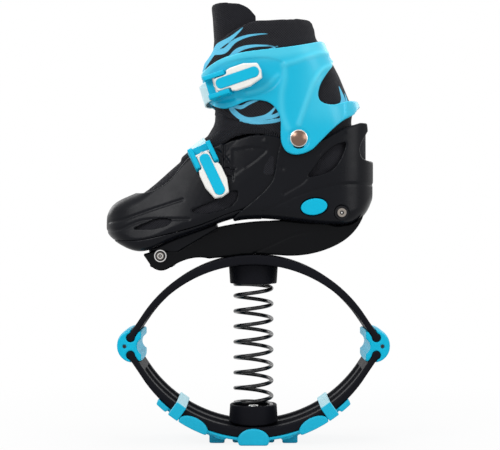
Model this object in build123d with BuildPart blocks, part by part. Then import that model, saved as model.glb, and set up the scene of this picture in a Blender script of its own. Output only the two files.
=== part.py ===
from build123d import *
import os
from math import cos, pi, radians, sin, sqrt

# Left jumping shoe: a buckled boot on a chassis, carried by two leaf arches and a coil spring.
# Millimetres. The origin is on the spring's axis at ground level, +Z up, the toe towards -X,
# and the outer side of the foot, with the buckles, towards -Y.

os.makedirs("parts", exist_ok=True)

# Fits shared by the whole shoe
overrun = 2.0
seat_gap = 0.2
running_gap = 0.4
bore_gap = 0.08

# Leaf arches and what they stand on
ground_to_arch = 7.1
arch_rise = 75.9
arch_half_span = 119.7
arch_end_angle = 56.0
arch_width = 72.0
crown_thickness = 9.4
leg_thickness = 5.9
bead_radius = 4.2
bead_spacing = 17.0
arch_rail = 9.0
arch_rib = 10.0
groove_depth = 2.4

# Hinge blocks that hold the ends of the arches
block_radius = 16.9
block_step = 0.65
block_inset = 2.5
block_lip = 7.8
block_waist_radius = 8.5
block_screw_radius = 1.9
block_screw_inset = 8.4
block_screw_length = 16.0

# Spring and its cups
wire_diameter = 3.0
coil_diameter = 36.4
coil_pitch = 15.35
coil_turns = 7
end_coil_rise = 1.3
cup_base_radius = 24.6
cup_rim_radius = 23.3
cup_height = 19.6
cup_wall = 2.6
cup_floor = 4.0
cup_recess = 4.4
cup_boss_radius = 6.5
cup_screw_radius = 2.5
cup_screw_head_radius = 5.0
cup_screw_head_height = 3.0
spring_stop_width = 4.0

# Rubber sole
pad_thickness = 3.0
pad_end_angle = 45.0
pad_lug_depth = 3.2
side_lug_wrap = 3.0

# Clips round the lower arch and the sole
clip_angle = 35.7
clip_length = 11.3
clip_wall = 1.9
clip_side_wall = 2.6

# Chassis
chassis_length = 226.0
chassis_height = 69.3
chassis_front_x = -113.0
chassis_drop = 16.5
chassis_width = 56.0
chassis_wall = 5.0
tower_width = 36.0
tower_length = 26.0
tower_head = 9.5

# Boot shells
shell_length = 268.0
shell_height = 126.0
shell_width = 102.0
toe_tip_x = -147.4
sole_lift = 3.7
rear_wall = 3.0
front_wall = 2.6
corner_low = 10.0
corner_high = 20.0
size_travel = 18.0

# Leg of the boot, measured from the cuff's rivets
leg_length = 153.0
leg_height = 178.0
leg_width = 80.0

# Liner, tongue and insole
liner_wall = 5.0
liner_gap = 0.4
tongue_wall = 4.6
tongue_width = 56.0
insole_thickness = 4.0
collar_thickness = 6.0

# Cuff and its rivets
cuff_width = 157.0
cuff_height = 113.0
cuff_wall = 3.0
cuff_front_opening = 30.0
cuff_rib_depth = 4.0
rivet_radius = 4.0
rivet_cap_radius = 8.4
rivet_cap_height = 2.6
rivet_flange_radius = 7.0
rivet_flange_height = 1.4
rivet_recess_radius = 10.4
rivet_recess_depth = 0.9
rock_forward = 8.0
rock_back = 4.0

# Buckles, both alike
buckle_length = 52.0
buckle_width = 23.0
buckle_neck = 13.6
lever_thickness = 5.0
inlay_width = 10.4
inlay_length = 44.0
inlay_middle = 28.0
inlay_height = 1.1
cheek_thickness = 2.4
strap_width = 19.0
strap_thickness = 2.0
pin_radius = 1.6
pin_place = 5.0
pin_height = 7.0
base_front = 4.5
cheek_end = 17.0
bridge_height = 3.9
bridge_end = 17.5
strap_end = 13.0
strap_screw_reach = 16.0
strap_screw_radius = 1.7
strap_screw_head_radius = 3.6
strap_screw_head_height = 1.6

# Bolts of the chassis
bolt_radius = 3.0
bolt_flange_radius = 6.8
bolt_flange_height = 1.2
bolt_head_radius = 4.8
bolt_head_height = 2.6
bolt_socket = 4.0
bolt_socket_depth = 1.8
nut_radius = 5.6
nut_height = 4.0
bolt_recess_depth = 1.2

# Size button and the rack that it locks
button_length = 25.6
button_height = 15.8
button_proud = 2.0
button_travel = 2.4
button_flange = 1.6
button_tilt = 8.0
button_spring_radius = 4.0
button_spring_wall = 0.8
button_spring_length = 9.0
rack_overlap = 22.0
rack_height = 4.0
rack_thickness = 3.0
rack_pitch = 6.0
rack_notch = 2.8

# Places that follow from the sizes above
rack_length = size_travel + rack_overlap
lower_crown_z = ground_to_arch + crown_thickness / 2
lower_bead_z = lower_crown_z + arch_rise
upper_bead_z = lower_bead_z + bead_spacing
hinge_z = (lower_bead_z + upper_bead_z) / 2
upper_crown_z = upper_bead_z + arch_rise
crown_top_z = upper_crown_z + crown_thickness / 2
sole_low_z = crown_top_z + sole_lift
cuff_axis_x = toe_tip_x + 0.714 * shell_length
cuff_axis_z = sole_low_z + 0.868 * shell_height

# The arch's middle line is a circle between two straight legs that are tangent to it.
end_sin = sin(radians(arch_end_angle))
end_cos = cos(radians(arch_end_angle))
arch_leg = (arch_rise * end_sin - arch_half_span * (1 - end_cos)) / (end_sin**2 - end_cos * (1 - end_cos))
arch_radius = (arch_half_span - arch_leg * end_cos) / end_sin


def face_radius(out):
    """Radius of the arch's face that lies out from the middle line: +1 outer face, -1 inner face."""
    end_x = arch_radius * end_sin + out * end_sin * leg_thickness / 2
    drop = arch_radius * (1 - end_cos) + out * (crown_thickness - leg_thickness * end_cos) / 2
    return (end_x**2 + drop**2) / (2 * drop)


outer_face_radius = face_radius(1)
inner_face_radius = face_radius(-1)

# Section table of the foot: place along the shell, bottom and top as shares of its height,
# half widths at the bottom and the top, and the shift to the inner side, as shares of half its width.
foot_station_shares = [
    (0.005, 0.151, 0.278, 0.275, 0.196, 0.118),
    (0.024, 0.103, 0.349, 0.510, 0.353, 0.108),
    (0.065, 0.048, 0.409, 0.745, 0.490, 0.098),
    (0.128, 0.002, 0.468, 0.902, 0.569, 0.078),
    (0.233, 0.071, 0.643, 1.000, 0.549, 0.039),
    (0.363, 0.175, 0.865, 0.941, 0.510, 0.000),
    (0.494, 0.265, 1.048, 0.843, 0.569, 0.000),
    (0.662, 0.262, 1.087, 0.784, 0.647, 0.000),
    (0.830, 0.226, 1.087, 0.755, 0.667, 0.000),
    (0.908, 0.246, 1.087, 0.647, 0.569, 0.000),
    (0.953, 0.317, 1.087, 0.451, 0.392, 0.000),
    (0.979, 0.429, 0.976, 0.216, 0.176, 0.000),
]

# Section table of the leg: height as a share of the leg's height above its root, front and rear
# ends from the rivets as shares of the leg's length, and half width as a share of its width.
leg_root_share = 0.579
leg_section_shares = [
    (0.000, -0.484, 0.366, 0.437),
    (0.213, -0.595, 0.405, 0.462),
    (0.410, -0.549, 0.327, 0.450),
    (0.562, -0.595, 0.255, 0.469),
    (0.764, -0.556, 0.131, 0.487),
    (0.893, -0.556, 0.085, 0.500),
    (1.000, -0.569, 0.052, 0.506),
]
leg_corner_share = 0.93


def boot_x(share):
    """X at a share of the shell's length."""
    return toe_tip_x + share * shell_length


def boot_z(share):
    """Z at a share of the shell's height."""
    return sole_low_z + share * shell_height


def boot_points(shares):
    """Points on the shell's side view."""
    return [(boot_x(a), boot_z(b)) for a, b in shares]


def cuff_points(shares):
    """Points on the cuff's side view, measured from its rivets."""
    return [(cuff_axis_x + a * cuff_width, cuff_axis_z + b * cuff_height) for a, b in shares]


def chassis_points(shares):
    """Points on the chassis's side view."""
    low_z = crown_top_z - chassis_drop
    return [(chassis_front_x + a * chassis_length, low_z + b * chassis_height) for a, b in shares]


def across(y):
    """Upright plane along the shoe at a distance to its side; its local axes are X and Z."""
    return Plane.XZ.offset(-y)


def draw_outline(*runs):
    """Closed face from runs of points: two points make a line and more make a smooth curve."""
    with BuildLine() as outline:
        for run in runs:
            if len(run) == 2:
                Line(*run)
            else:
                Spline(*run)
    make_face(outline.edges())


def side_slab(half_width, *runs):
    """Solid that fills a side-view outline right across the shoe."""
    with BuildPart() as slab:
        with BuildSketch(Plane.XZ):
            draw_outline(*runs)
        extrude(amount=half_width, both=True)
    return slab.part


def side_polygon(half_width, points):
    """Solid that fills a straight-sided side-view outline right across the shoe."""
    with BuildPart() as slab:
        with BuildSketch(Plane.XZ):
            with BuildLine():
                Polyline(*points, close=True)
            make_face()
        extrude(amount=half_width, both=True)
    return slab.part


def foot_form(grow):
    """Closed form of the foot part of the boot, grown outwards all round."""
    half = shell_width / 2
    with BuildPart() as form:
        first = foot_station_shares[0][0]
        last = foot_station_shares[-1][0]
        for along, low, high, wide_low, wide_high, shift in foot_station_shares:
            x = boot_x(along) + grow * (2 * (along - first) / (last - first) - 1)
            # An inner form keeps at least a third of each section near its ends.
            room = min(wide_high * half, (high - low) * shell_height / 2)
            spread = max(grow, -0.65 * room)
            bottom = boot_z(low) - spread
            top = boot_z(high) + spread
            low_half = wide_low * half + spread
            high_half = wide_high * half + spread
            low_fillet = min(corner_low + grow, 0.5 * low_half, 0.35 * (top - bottom))
            high_fillet = min(corner_high + grow, 0.7 * high_half, 0.45 * (top - bottom))
            middle = shift * half
            with BuildSketch(Plane.YZ.offset(x)):
                with BuildLine():
                    FilletPolyline(
                        (middle - low_half, bottom),
                        (middle + low_half, bottom),
                        (middle + high_half, top),
                        (middle - high_half, top),
                        radius=[low_fillet, low_fillet, high_fillet, high_fillet],
                        close=True,
                    )
                make_face()
        loft()
    return form.part


def leg_form(grow):
    """Closed form of the leg part of the boot, grown outwards level all round."""
    root_z = boot_z(leg_root_share)
    with BuildPart() as form:
        for up, front, rear, wide in leg_section_shares:
            front_x = cuff_axis_x + front * leg_length - grow
            rear_x = cuff_axis_x + rear * leg_length + grow
            half = wide * leg_width + grow
            with BuildSketch(Plane.XY.offset(root_z + up * leg_height)):
                with Locations(((front_x + rear_x) / 2, 0)):
                    RectangleRounded(rear_x - front_x, 2 * half, leg_corner_share * half)
        loft()
    return form.part


def foot_side(x, z):
    """Distance of the foot form's side from the middle plane at a place on the side view."""
    table = foot_station_shares
    share = (x - toe_tip_x) / shell_length
    index = max(i for i in range(len(table) - 1) if table[i][0] <= share)
    blend = (share - table[index][0]) / (table[index + 1][0] - table[index][0])
    low, high, wide_low, wide_high = [
        table[index][k] + blend * (table[index + 1][k] - table[index][k]) for k in (1, 2, 3, 4)
    ]
    rise = (z - boot_z(low)) / ((high - low) * shell_height)
    return (wide_low + rise * (wide_high - wide_low)) * shell_width / 2


def leg_side(z):
    """Half width of the leg form at a height."""
    table = leg_section_shares
    share = (z - boot_z(leg_root_share)) / leg_height
    index = max(i for i in range(len(table) - 1) if table[i][0] <= share)
    blend = (share - table[index][0]) / (table[index + 1][0] - table[index][0])
    return (table[index][3] + blend * (table[index + 1][3] - table[index][3])) * leg_width


def rod(x, z, radius, start_y, end_y):
    """Round bar across the shoe."""
    with BuildPart() as bar:
        with BuildSketch(across(start_y)):
            with Locations((x, z)):
                Circle(radius)
        extrude(amount=start_y - end_y)
    return bar.part


def finish_part(builder, name):
    """Name a finished piece and write it."""
    builder.part.label = name
    export_step(builder.part, f"parts/{name}.step")


# Leaf arches
def arch_face(turn, bead_z):
    """Side view of an arch; turn is +1 when the crown is on top and -1 when it is below."""
    top_z = arch_rise - arch_radius

    def spot(angle, out, crown=False):
        thick = crown_thickness if crown else leg_thickness
        reach = arch_radius + out * thick / 2
        return (reach * sin(radians(angle)), bead_z + turn * (top_z + reach * cos(radians(angle))))

    def bead_spot(side, out):
        shift = out * leg_thickness / 2
        return (side * (arch_half_span + shift * end_sin), bead_z + turn * shift * end_cos)

    with BuildLine() as outline:
        for out in (1, -1):
            ThreePointArc(spot(-arch_end_angle, out), spot(0, out, True), spot(arch_end_angle, out))
            for side in (-1, 1):
                Line(spot(side * arch_end_angle, out), bead_spot(side, out))
        for side in (-1, 1):
            Line(bead_spot(side, 1), bead_spot(side, -1))
    make_face(outline.edges())
    with Locations((-arch_half_span, bead_z), (arch_half_span, bead_z)):
        Circle(bead_radius)


def band_sector(centre_z, turn, low_radius, high_radius, start, end):
    """Flat face between two circles about the arch's centre, from one angle off the crown to another."""
    first = 90 * turn - end * turn
    sweep_angle = (end - start) * turn
    with BuildLine() as outline:
        low = CenterArc((0, centre_z), low_radius, first, sweep_angle)
        high = CenterArc((0, centre_z), high_radius, first, sweep_angle)
        Line(low @ 0, high @ 0)
        Line(low @ 1, high @ 1)
    make_face(outline.edges())


def groove_cutter(turn, bead_z, inner_centre_z):
    """The two long grooves between the rails and the middle rib on an arch's inner face."""
    groove = (arch_width - 2 * arch_rail - arch_rib) / 2
    with BuildPart() as cutter:
        for side in (-1, 1):
            middle = side * (arch_rib + groove) / 2
            with BuildSketch(across(middle)):
                band_sector(
                    inner_centre_z,
                    turn,
                    inner_face_radius - overrun,
                    inner_face_radius + groove_depth,
                    -arch_end_angle,
                    arch_end_angle,
                )
            extrude(amount=groove / 2, both=True)
    return cutter.part


upper_outer_centre_z = crown_top_z - outer_face_radius
upper_inner_centre_z = crown_top_z - crown_thickness - inner_face_radius
lower_outer_centre_z = ground_to_arch + outer_face_radius
lower_inner_centre_z = ground_to_arch + crown_thickness + inner_face_radius

with BuildPart() as upper_arch:
    with BuildSketch(Plane.XZ):
        arch_face(1, upper_bead_z)
    extrude(amount=arch_width / 2, both=True)
    add(groove_cutter(1, upper_bead_z, upper_inner_centre_z), mode=Mode.SUBTRACT)
    with BuildSketch(Plane.XY.offset(crown_top_z)):
        Circle(cup_screw_radius + seat_gap)
    extrude(amount=-crown_thickness - overrun, mode=Mode.SUBTRACT)
finish_part(upper_arch, "upper_arch")

with BuildPart() as lower_arch:
    with BuildSketch(Plane.XZ):
        arch_face(-1, lower_bead_z)
    extrude(amount=arch_width / 2, both=True)
    add(groove_cutter(-1, lower_bead_z, lower_inner_centre_z), mode=Mode.SUBTRACT)
    with BuildSketch(Plane.XY.offset(ground_to_arch)):
        Circle(cup_screw_radius + seat_gap)
    extrude(amount=crown_thickness + overrun, mode=Mode.SUBTRACT)
finish_part(lower_arch, "lower_arch")


# Hinge blocks
def hinge_block(side):
    """Stepped barrel with two sockets that open towards the arches' legs; side is -1 in front."""
    centre_x = side * (arch_half_span - block_inset)
    lip_x = centre_x - side * block_lip
    steps = [(arch_width / 2, 2), (arch_width * 0.43, 1), (arch_width * 0.32, 0)]
    with BuildPart() as block:
        for reach, step in steps:
            with BuildSketch(Plane.XZ):
                with Locations((centre_x, hinge_z)):
                    Circle(block_radius - step * block_step)
            extrude(amount=reach, both=True)
        with BuildSketch(Plane.XZ):
            with Locations((lip_x - side * block_radius, hinge_z)):
                Rectangle(2 * block_radius, 3 * block_radius)
            with Locations((lip_x - side * block_waist_radius / 2, hinge_z)):
                Circle(block_waist_radius)
            for up in (-1, 1):
                bead_z = hinge_z + up * bead_spacing / 2
                socket = (side * arch_half_span, bead_z)
                reach = 2 * block_radius
                away = (socket[0] - side * reach * end_cos, bead_z + up * reach * end_sin)
                with Locations(socket):
                    Circle(bead_radius + seat_gap)
                with BuildLine():
                    wide = leg_thickness / 2 + running_gap
                    Polyline(
                        (socket[0] + side * wide * end_sin, socket[1] + up * wide * end_cos),
                        (away[0] + side * wide * end_sin, away[1] + up * wide * end_cos),
                        (away[0] - side * wide * end_sin, away[1] - up * wide * end_cos),
                        (socket[0] - side * wide * end_sin, socket[1] - up * wide * end_cos),
                        close=True,
                    )
                make_face()
        extrude(amount=arch_width / 2 + overrun, both=True, mode=Mode.SUBTRACT)
        screw_x = centre_x + side * block_screw_inset
        for y in (-arch_width / 2, arch_width / 2):
            inward = block_screw_length + bore_gap
            with BuildSketch(across(y)):
                with Locations((screw_x, hinge_z)):
                    Circle(block_screw_radius + bore_gap)
            extrude(amount=inward if y > 0 else -inward, mode=Mode.SUBTRACT)
    return block


def block_screws(side):
    """The two short screws that close a hinge block, one from each end."""
    screw_x = side * (arch_half_span - block_inset + block_screw_inset)
    with BuildPart() as screws:
        for y in (-arch_width / 2, arch_width / 2):
            turn = 1 if y > 0 else -1
            sunk = y - turn * block_screw_radius
            with BuildSketch(across(sunk)):
                with Locations((screw_x, hinge_z)):
                    Circle(block_screw_radius)
            extrude(amount=turn * (block_screw_length - block_screw_radius))
            with BuildSketch(across(sunk)):
                with Locations((screw_x, hinge_z)):
                    RegularPolygon(block_screw_radius / 2, 6)
            extrude(amount=turn * block_screw_radius, mode=Mode.SUBTRACT)
    return screws


front_hinge_block = hinge_block(-1)
rear_hinge_block = hinge_block(1)
front_block_screws = block_screws(-1)
rear_block_screws = block_screws(1)
finish_part(front_hinge_block, "front_hinge_block")
finish_part(rear_hinge_block, "rear_hinge_block")
finish_part(front_block_screws, "front_block_screws")
finish_part(rear_block_screws, "rear_block_screws")

# Levels of the spring's seats in its cups
lower_rim_z = ground_to_arch + crown_thickness + cup_height
lower_floor_z = lower_rim_z - cup_recess
upper_rim_z = crown_top_z - crown_thickness - cup_height
upper_floor_z = upper_rim_z + cup_recess


# Coil spring: a right-handed helix with one closed turn at each end, which lies in its cup.
# The nodes are a quarter turn apart, and each stretch between two nodes is a pair of tangent arcs.
coil_radius = coil_diameter / 2
quarter_rise = coil_pitch / 4
first_edge_z = lower_floor_z + wire_diameter / 2 + 4 * end_coil_rise + 1.45 * quarter_rise
open_quarters = 4 * coil_turns + 1
coil_heights = [lower_floor_z + wire_diameter / 2 + i * end_coil_rise for i in range(4)]
coil_heights.append(coil_heights[-1] + 0.6 * (first_edge_z - coil_heights[-1]) - quarter_rise * 0.25)
coil_heights += [first_edge_z + i * quarter_rise for i in range(open_quarters)]
top_seat_z = upper_floor_z - wire_diameter / 2
coil_heights.append(coil_heights[-1] + 0.7 * (top_seat_z - 3 * end_coil_rise - coil_heights[-1]))
coil_heights += [top_seat_z - i * end_coil_rise for i in (3, 2, 1, 0)]
coil_start_angle = -450.0


def coil_node(index):
    """Point of the wire's middle line and its direction at a node."""
    angle = radians(coil_start_angle + 90 * index)
    low = coil_heights[max(index - 1, 0)]
    high = coil_heights[min(index + 1, len(coil_heights) - 1)]
    steps = min(index + 1, len(coil_heights) - 1) - max(index - 1, 0)
    rise = (high - low) / (steps * pi / 2)
    if index in (0, len(coil_heights) - 1):
        rise = 0
    point = Vector(coil_radius * cos(angle), coil_radius * sin(angle), coil_heights[index])
    heading = Vector(-coil_radius * sin(angle), coil_radius * cos(angle), rise).normalized()
    return point, heading


def arc_pair(start, start_heading, end, end_heading):
    """Joint of the two tangent arcs between two points with given directions, and its own direction."""
    chord = end - start
    both = start_heading + end_heading
    bend = 2 * (1 - start_heading.dot(end_heading))
    along = chord.dot(both)
    reach = (sqrt(along**2 + bend * chord.dot(chord)) - along) / bend
    before = start + start_heading * reach
    after = end - end_heading * reach
    return (before + after) / 2, (after - before).normalized()


coil_nodes = [coil_node(i) for i in range(len(coil_heights))]
with BuildPart() as coil_spring:
    with BuildLine() as coil_path:
        start, heading = coil_nodes[0]
        Line(start - heading * wire_diameter, start)
        for (start, heading), (end, end_heading) in zip(coil_nodes, coil_nodes[1:]):
            joint, joint_heading = arc_pair(start, heading, end, end_heading)
            TangentArc(start, joint, tangent=heading)
            TangentArc(joint, end, tangent=joint_heading)
        end, heading = coil_nodes[-1]
        Line(end, end + heading * wire_diameter)
    with BuildSketch(Plane(coil_path.line @ 0, z_dir=coil_path.line % 0)):
        Circle(wire_diameter / 2)
    sweep()
finish_part(coil_spring, "coil_spring")


def least_turn_gap():
    """Least clear distance between the wire and its own next turns, from points on its middle line."""
    points = []
    for (start, heading), (end, end_heading) in zip(coil_nodes, coil_nodes[1:]):
        joint, joint_heading = arc_pair(start, heading, end, end_heading)
        first = Edge.make_tangent_arc(start, heading, joint)
        second = Edge.make_tangent_arc(joint, joint_heading, end)
        points += [arc @ (k / 4) for arc in (first, second) for k in range(4)]
    half_turn = 16
    gaps = [
        (points[i] - points[j]).length - wire_diameter
        for i in range(len(points))
        for j in range(i + half_turn, len(points))
    ]
    return min(gaps)


coil_length = sum(edge.length for edge in coil_path.edges())
coil_fill = coil_spring.part.volume / (coil_length * pi * wire_diameter**2 / 4)
print("coil spring: least gap between turns", round(least_turn_gap(), 2), "mm, wire length", round(coil_length))
print("coil spring: volume over section times length", round(coil_fill, 4))


# Spring cups. The base of each is cut to the arch that it stands on.
def cup_body(turn, arch_z, inner_centre_z, wire_end):
    """Spring cup with a stop that the wire's straight end butts against.

    turn is +1 for the lower cup, which opens upwards, and arch_z is the arch's inner crown.
    """
    point, heading = wire_end
    stop_face = point - heading * turn * (wire_diameter + seat_gap)
    rim_z = arch_z + turn * cup_height
    floor_z = rim_z - turn * cup_recess
    under_z = floor_z - turn * cup_floor
    bore = cup_screw_radius + seat_gap
    inner_rim = cup_rim_radius - cup_wall
    with BuildPart() as cup:
        with BuildSketch(Plane.XZ):
            with BuildLine():
                Polyline(
                    (bore, arch_z),
                    (cup_boss_radius, arch_z),
                    (cup_boss_radius, under_z),
                    (inner_rim, under_z),
                    (inner_rim, arch_z),
                    (cup_base_radius, arch_z),
                    (cup_rim_radius, rim_z),
                    (inner_rim, rim_z),
                    (inner_rim, floor_z),
                    (bore, floor_z),
                    close=True,
                )
            make_face()
        revolve(axis=Axis.Z)
        with BuildSketch(Plane.XZ):
            with Locations((0, inner_centre_z)):
                Circle(inner_face_radius * 1.3)
                Circle(inner_face_radius - seat_gap, mode=Mode.SUBTRACT)
        extrude(amount=cup_base_radius + overrun, both=True, mode=Mode.SUBTRACT)
        with BuildSketch(Plane(stop_face, x_dir=(0, 0, 1), z_dir=heading * -turn)):
            Rectangle(wire_diameter, spring_stop_width)
        extrude(amount=wire_diameter)
    return cup


def cup_screw(turn, floor_z, tip_z):
    """Button-headed screw through a cup's floor into what carries the cup."""
    with BuildPart() as screw:
        with BuildSketch(Plane.XY.offset(floor_z)):
            Circle(cup_screw_head_radius)
        extrude(amount=turn * cup_screw_head_height)
        rim = screw.edges().filter_by(GeomType.CIRCLE).sort_by(Axis.Z)
        fillet(rim[-1] if turn > 0 else rim[0], 0.4 * cup_screw_head_height)
        with BuildSketch(Plane.XY.offset(floor_z)):
            Circle(cup_screw_radius)
        extrude(amount=tip_z - floor_z)
        with BuildSketch(Plane.XY.offset(floor_z + turn * cup_screw_head_height)):
            RegularPolygon(bolt_socket / 2, 6)
        extrude(amount=-turn * cup_screw_head_height * 0.6, mode=Mode.SUBTRACT)
    return screw


lower_cup = cup_body(1, ground_to_arch + crown_thickness, lower_inner_centre_z, coil_nodes[0])
upper_cup = cup_body(-1, crown_top_z - crown_thickness, upper_inner_centre_z, coil_nodes[-1])
lower_cup_screw = cup_screw(1, lower_floor_z, ground_to_arch + seat_gap)
upper_cup_screw = cup_screw(-1, upper_floor_z, crown_top_z + 2 * cup_screw_head_height)
finish_part(lower_cup_screw, "lower_cup_screw")
finish_part(upper_cup_screw, "upper_cup_screw")
finish_part(lower_cup, "lower_cup")
finish_part(upper_cup, "upper_cup")

# Rubber sole: a strip under the lower arch, blocks that reach the ground, studs on the slopes,
# and rounded lugs that wrap round the arch's edges.
pad_face_radius = outer_face_radius + seat_gap
block_row_shares = [(-0.30, -0.30), (-0.30, 0.0), (-0.30, 0.30), (-0.11, -0.17), (-0.11, 0.17)]
block_row_shares += [(-a, b) for a, b in block_row_shares]
block_row_shares.append((0.0, 0.0))
ground_block_shares = (0.125, 0.22)
stud_angles = (14.0, 20.0, 26.0, 41.0)
stud_half_angle = 2.2
side_lug_shares = [(0.0, 0.129, 0.092), (26.5, 0.128, 0.069), (42.0, 0.055, 0.055)]
side_lug_share = 0.2

with BuildPart() as sole_pad:
    with BuildSketch(Plane.XZ):
        band_sector(
            lower_outer_centre_z,
            -1,
            pad_face_radius,
            pad_face_radius + pad_thickness,
            -pad_end_angle,
            pad_end_angle,
        )
    extrude(amount=arch_width / 2, both=True)
    for along, over in block_row_shares:
        with BuildSketch(Plane.XY):
            with Locations((along * arch_half_span, over * arch_width)):
                RectangleRounded(
                    ground_block_shares[0] * arch_half_span,
                    ground_block_shares[1] * arch_width,
                    0.2 * ground_block_shares[0] * arch_half_span,
                )
        rise = abs(along) * arch_half_span + ground_block_shares[0] * arch_half_span
        extrude(amount=ground_to_arch + rise**2 / (2 * pad_face_radius))
    for index, angle in enumerate(stud_angles):
        for turn in (-1, 1):
            low = pad_face_radius + pad_thickness / 2
            for over in (-0.25, 0.25) if index % 2 else (-0.38, 0.0, 0.38):
                with BuildSketch(across(over * arch_width)):
                    band_sector(
                        lower_outer_centre_z,
                        -1,
                        low,
                        pad_face_radius + pad_thickness + pad_lug_depth,
                        turn * angle - stud_half_angle,
                        turn * angle + stud_half_angle,
                    )
                extrude(amount=0.09 * arch_width, both=True)
    for lug_angle, long_share, high_share in side_lug_shares:
        for turn in (-1, 1) if lug_angle else (1,):
            reach = pad_face_radius + pad_thickness / 2
            spot = (
                turn * reach * sin(radians(lug_angle)),
                lower_outer_centre_z - reach * cos(radians(lug_angle)),
            )
            for over in (-1, 1):
                with BuildSketch(across(over * (arch_width / 2 + side_lug_wrap))):
                    with Locations(Location((*spot, 0), (0, 0, turn * lug_angle))):
                        Ellipse(long_share * arch_half_span, high_share * arch_half_span)
                extrude(amount=over * side_lug_share * arch_width)
    # Room for the arch itself, with the rails' sides clear of the wrapped lugs
    with BuildSketch(Plane.XZ):
        with Locations((0, lower_outer_centre_z)):
            Circle(pad_face_radius)
    extrude(amount=arch_width / 2 + seat_gap, both=True, mode=Mode.SUBTRACT)
    split(bisect_by=Plane.XY, keep=Keep.TOP)
finish_part(sole_pad, "sole_pad")


# Clips round the lower arch and the sole
def sole_clip(side):
    """Square band across the lower arch; side is -1 in front."""
    turn = radians(clip_angle)
    inner_centre_gap = lower_inner_centre_z - lower_outer_centre_z
    inner_reach = inner_face_radius - inner_centre_gap * cos(turn)
    outer_reach = pad_face_radius + pad_thickness
    # The arch tapers, so its inner face leans a little against the clip.
    lean = inner_centre_gap * sin(turn) / inner_face_radius
    low = inner_reach - 1.5 * seat_gap - lean * clip_length / 2
    high = outer_reach + seat_gap
    middle = (low + high) / 2
    origin = (side * middle * sin(turn), 0, lower_outer_centre_z - middle * cos(turn))
    along = (side * cos(turn), 0, sin(turn))
    half_wide = arch_width / 2 + seat_gap
    with BuildPart() as clip:
        with BuildSketch(Plane(origin, x_dir=(0, 1, 0), z_dir=along)):
            Rectangle(2 * (half_wide + clip_side_wall), high - low + 2 * clip_wall)
            Rectangle(2 * half_wide, high - low, mode=Mode.SUBTRACT)
        extrude(amount=clip_length / 2, both=True)
        across_edges = clip.edges().filter_by(GeomType.LINE).group_by(SortBy.LENGTH)[-1]
        fillet(across_edges, 0.6 * clip_wall)
    return clip


front_clip = sole_clip(-1)
rear_clip = sole_clip(1)
finish_part(front_clip, "front_clip")
finish_part(rear_clip, "rear_clip")

# Forms that the layers of the boot are cut from
half_across = shell_width
front_form = foot_form(0)
front_inner_form = foot_form(-front_wall)
rear_inner_form = foot_form(running_gap)
rear_outer_form = foot_form(running_gap + rear_wall)
liner_out = -front_wall - liner_gap
liner_in = liner_out - liner_wall
liner_foot_form = foot_form(liner_out)
liner_inner_form = foot_form(liner_in)
liner_leg_form = leg_form(liner_out)
liner_leg_inner_form = leg_form(liner_in)
cuff_inner = running_gap + rear_wall + running_gap
cuff_outer = cuff_inner + cuff_wall

# Side view of the rear shell, from the foot of the front seam round over the heel
rear_seam_shares = [(0.476, 0.256), (0.526, 0.348), (0.576, 0.441), (0.616, 0.543), (0.635, 0.727), (0.648, 0.835)]
rear_lobe_shares = [(0.648, 0.835), (0.668, 0.925), (0.715, 0.965), (0.762, 0.925), (0.791, 0.851)]
rear_top_shares = [(0.791, 0.851), (0.835, 0.899), (0.894, 0.959), (0.940, 0.996)]
rear_hook_shares = [(0.940, 0.996), (0.967, 0.996)]
rear_notch_shares = [(0.970, 0.935), (0.950, 0.865), (0.938, 0.790), (0.945, 0.731), (0.986, 0.700), (1.030, 0.688)]
rear_vent_shares = [
    [(0.742, 0.567), (0.790, 0.590), (0.835, 0.630), (0.862, 0.700), (0.872, 0.741), (0.887, 0.843)],
    [(0.887, 0.843), (0.850, 0.820), (0.791, 0.709), (0.742, 0.567)],
]
toe_vent_shares = [
    [(0.322, 0.310), (0.364, 0.349), (0.419, 0.403), (0.467, 0.458), (0.493, 0.466)],
    [(0.493, 0.466), (0.475, 0.364), (0.419, 0.310), (0.364, 0.294), (0.322, 0.310)],
]
toe_slot_shares = [
    [(0.099, 0.161), (0.143, 0.185), (0.187, 0.232), (0.224, 0.239), (0.257, 0.232)],
    [(0.257, 0.232), (0.235, 0.200), (0.187, 0.176), (0.099, 0.161)],
]
throat_shares = [
    (0.111, 0.455),
    (0.189, 0.475),
    (0.245, 0.552),
    (0.289, 0.668),
    (0.324, 0.745),
    (0.377, 0.784),
    (0.465, 0.867),
    (0.539, 0.910),
    (0.620, 0.898),
]
sole_seam_shares = [(-0.030, 0.091), (0.035, 0.087), (0.113, 0.080), (0.206, 0.113), (0.295, 0.160)]
sole_seam_shares += [(0.385, 0.224), (0.476, 0.302), (0.560, 0.335), (0.680, 0.345)]
front_tail_share = 0.680

# Places of the fastenings and the button on the side view
front_bolt_x, front_bolt_z = chassis_points([(0.097, 0.222)])[0]
rear_bolt_x, rear_bolt_z = chassis_points([(0.879, 0.832)])[0]
button_x, button_z = boot_points([(0.769, 0.343)])[0]

# Places of the middles of the buckles. Each buckle is built on a plane that lies on the boot's side:
# local X runs from the lever's nose to its free end, and local Z points away from the boot.
top_buckle_shares = (-0.379, 0.505)
top_buckle_heading = 17.0
top_buckle_yaw = 12.0
toe_buckle_shares = (0.398, 0.590)
toe_buckle_heading = -65.5
toe_buckle_tilt = 12.0


def buckle_plane(x, y, z, heading, yaw, tilt):
    """Plane of a buckle whose middle is given, turned about Z by yaw and leaning back by tilt."""
    turn = radians(heading)
    normal = (-sin(radians(yaw)), -cos(radians(yaw)) * cos(radians(tilt)), sin(radians(tilt)))
    middle = Plane((x, y, z), x_dir=(cos(turn), 0, sin(turn)), z_dir=normal)
    return Plane(middle.from_local_coords(Vector(-buckle_length / 2, 0, 0)), x_dir=middle.x_dir, z_dir=middle.z_dir)


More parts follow.
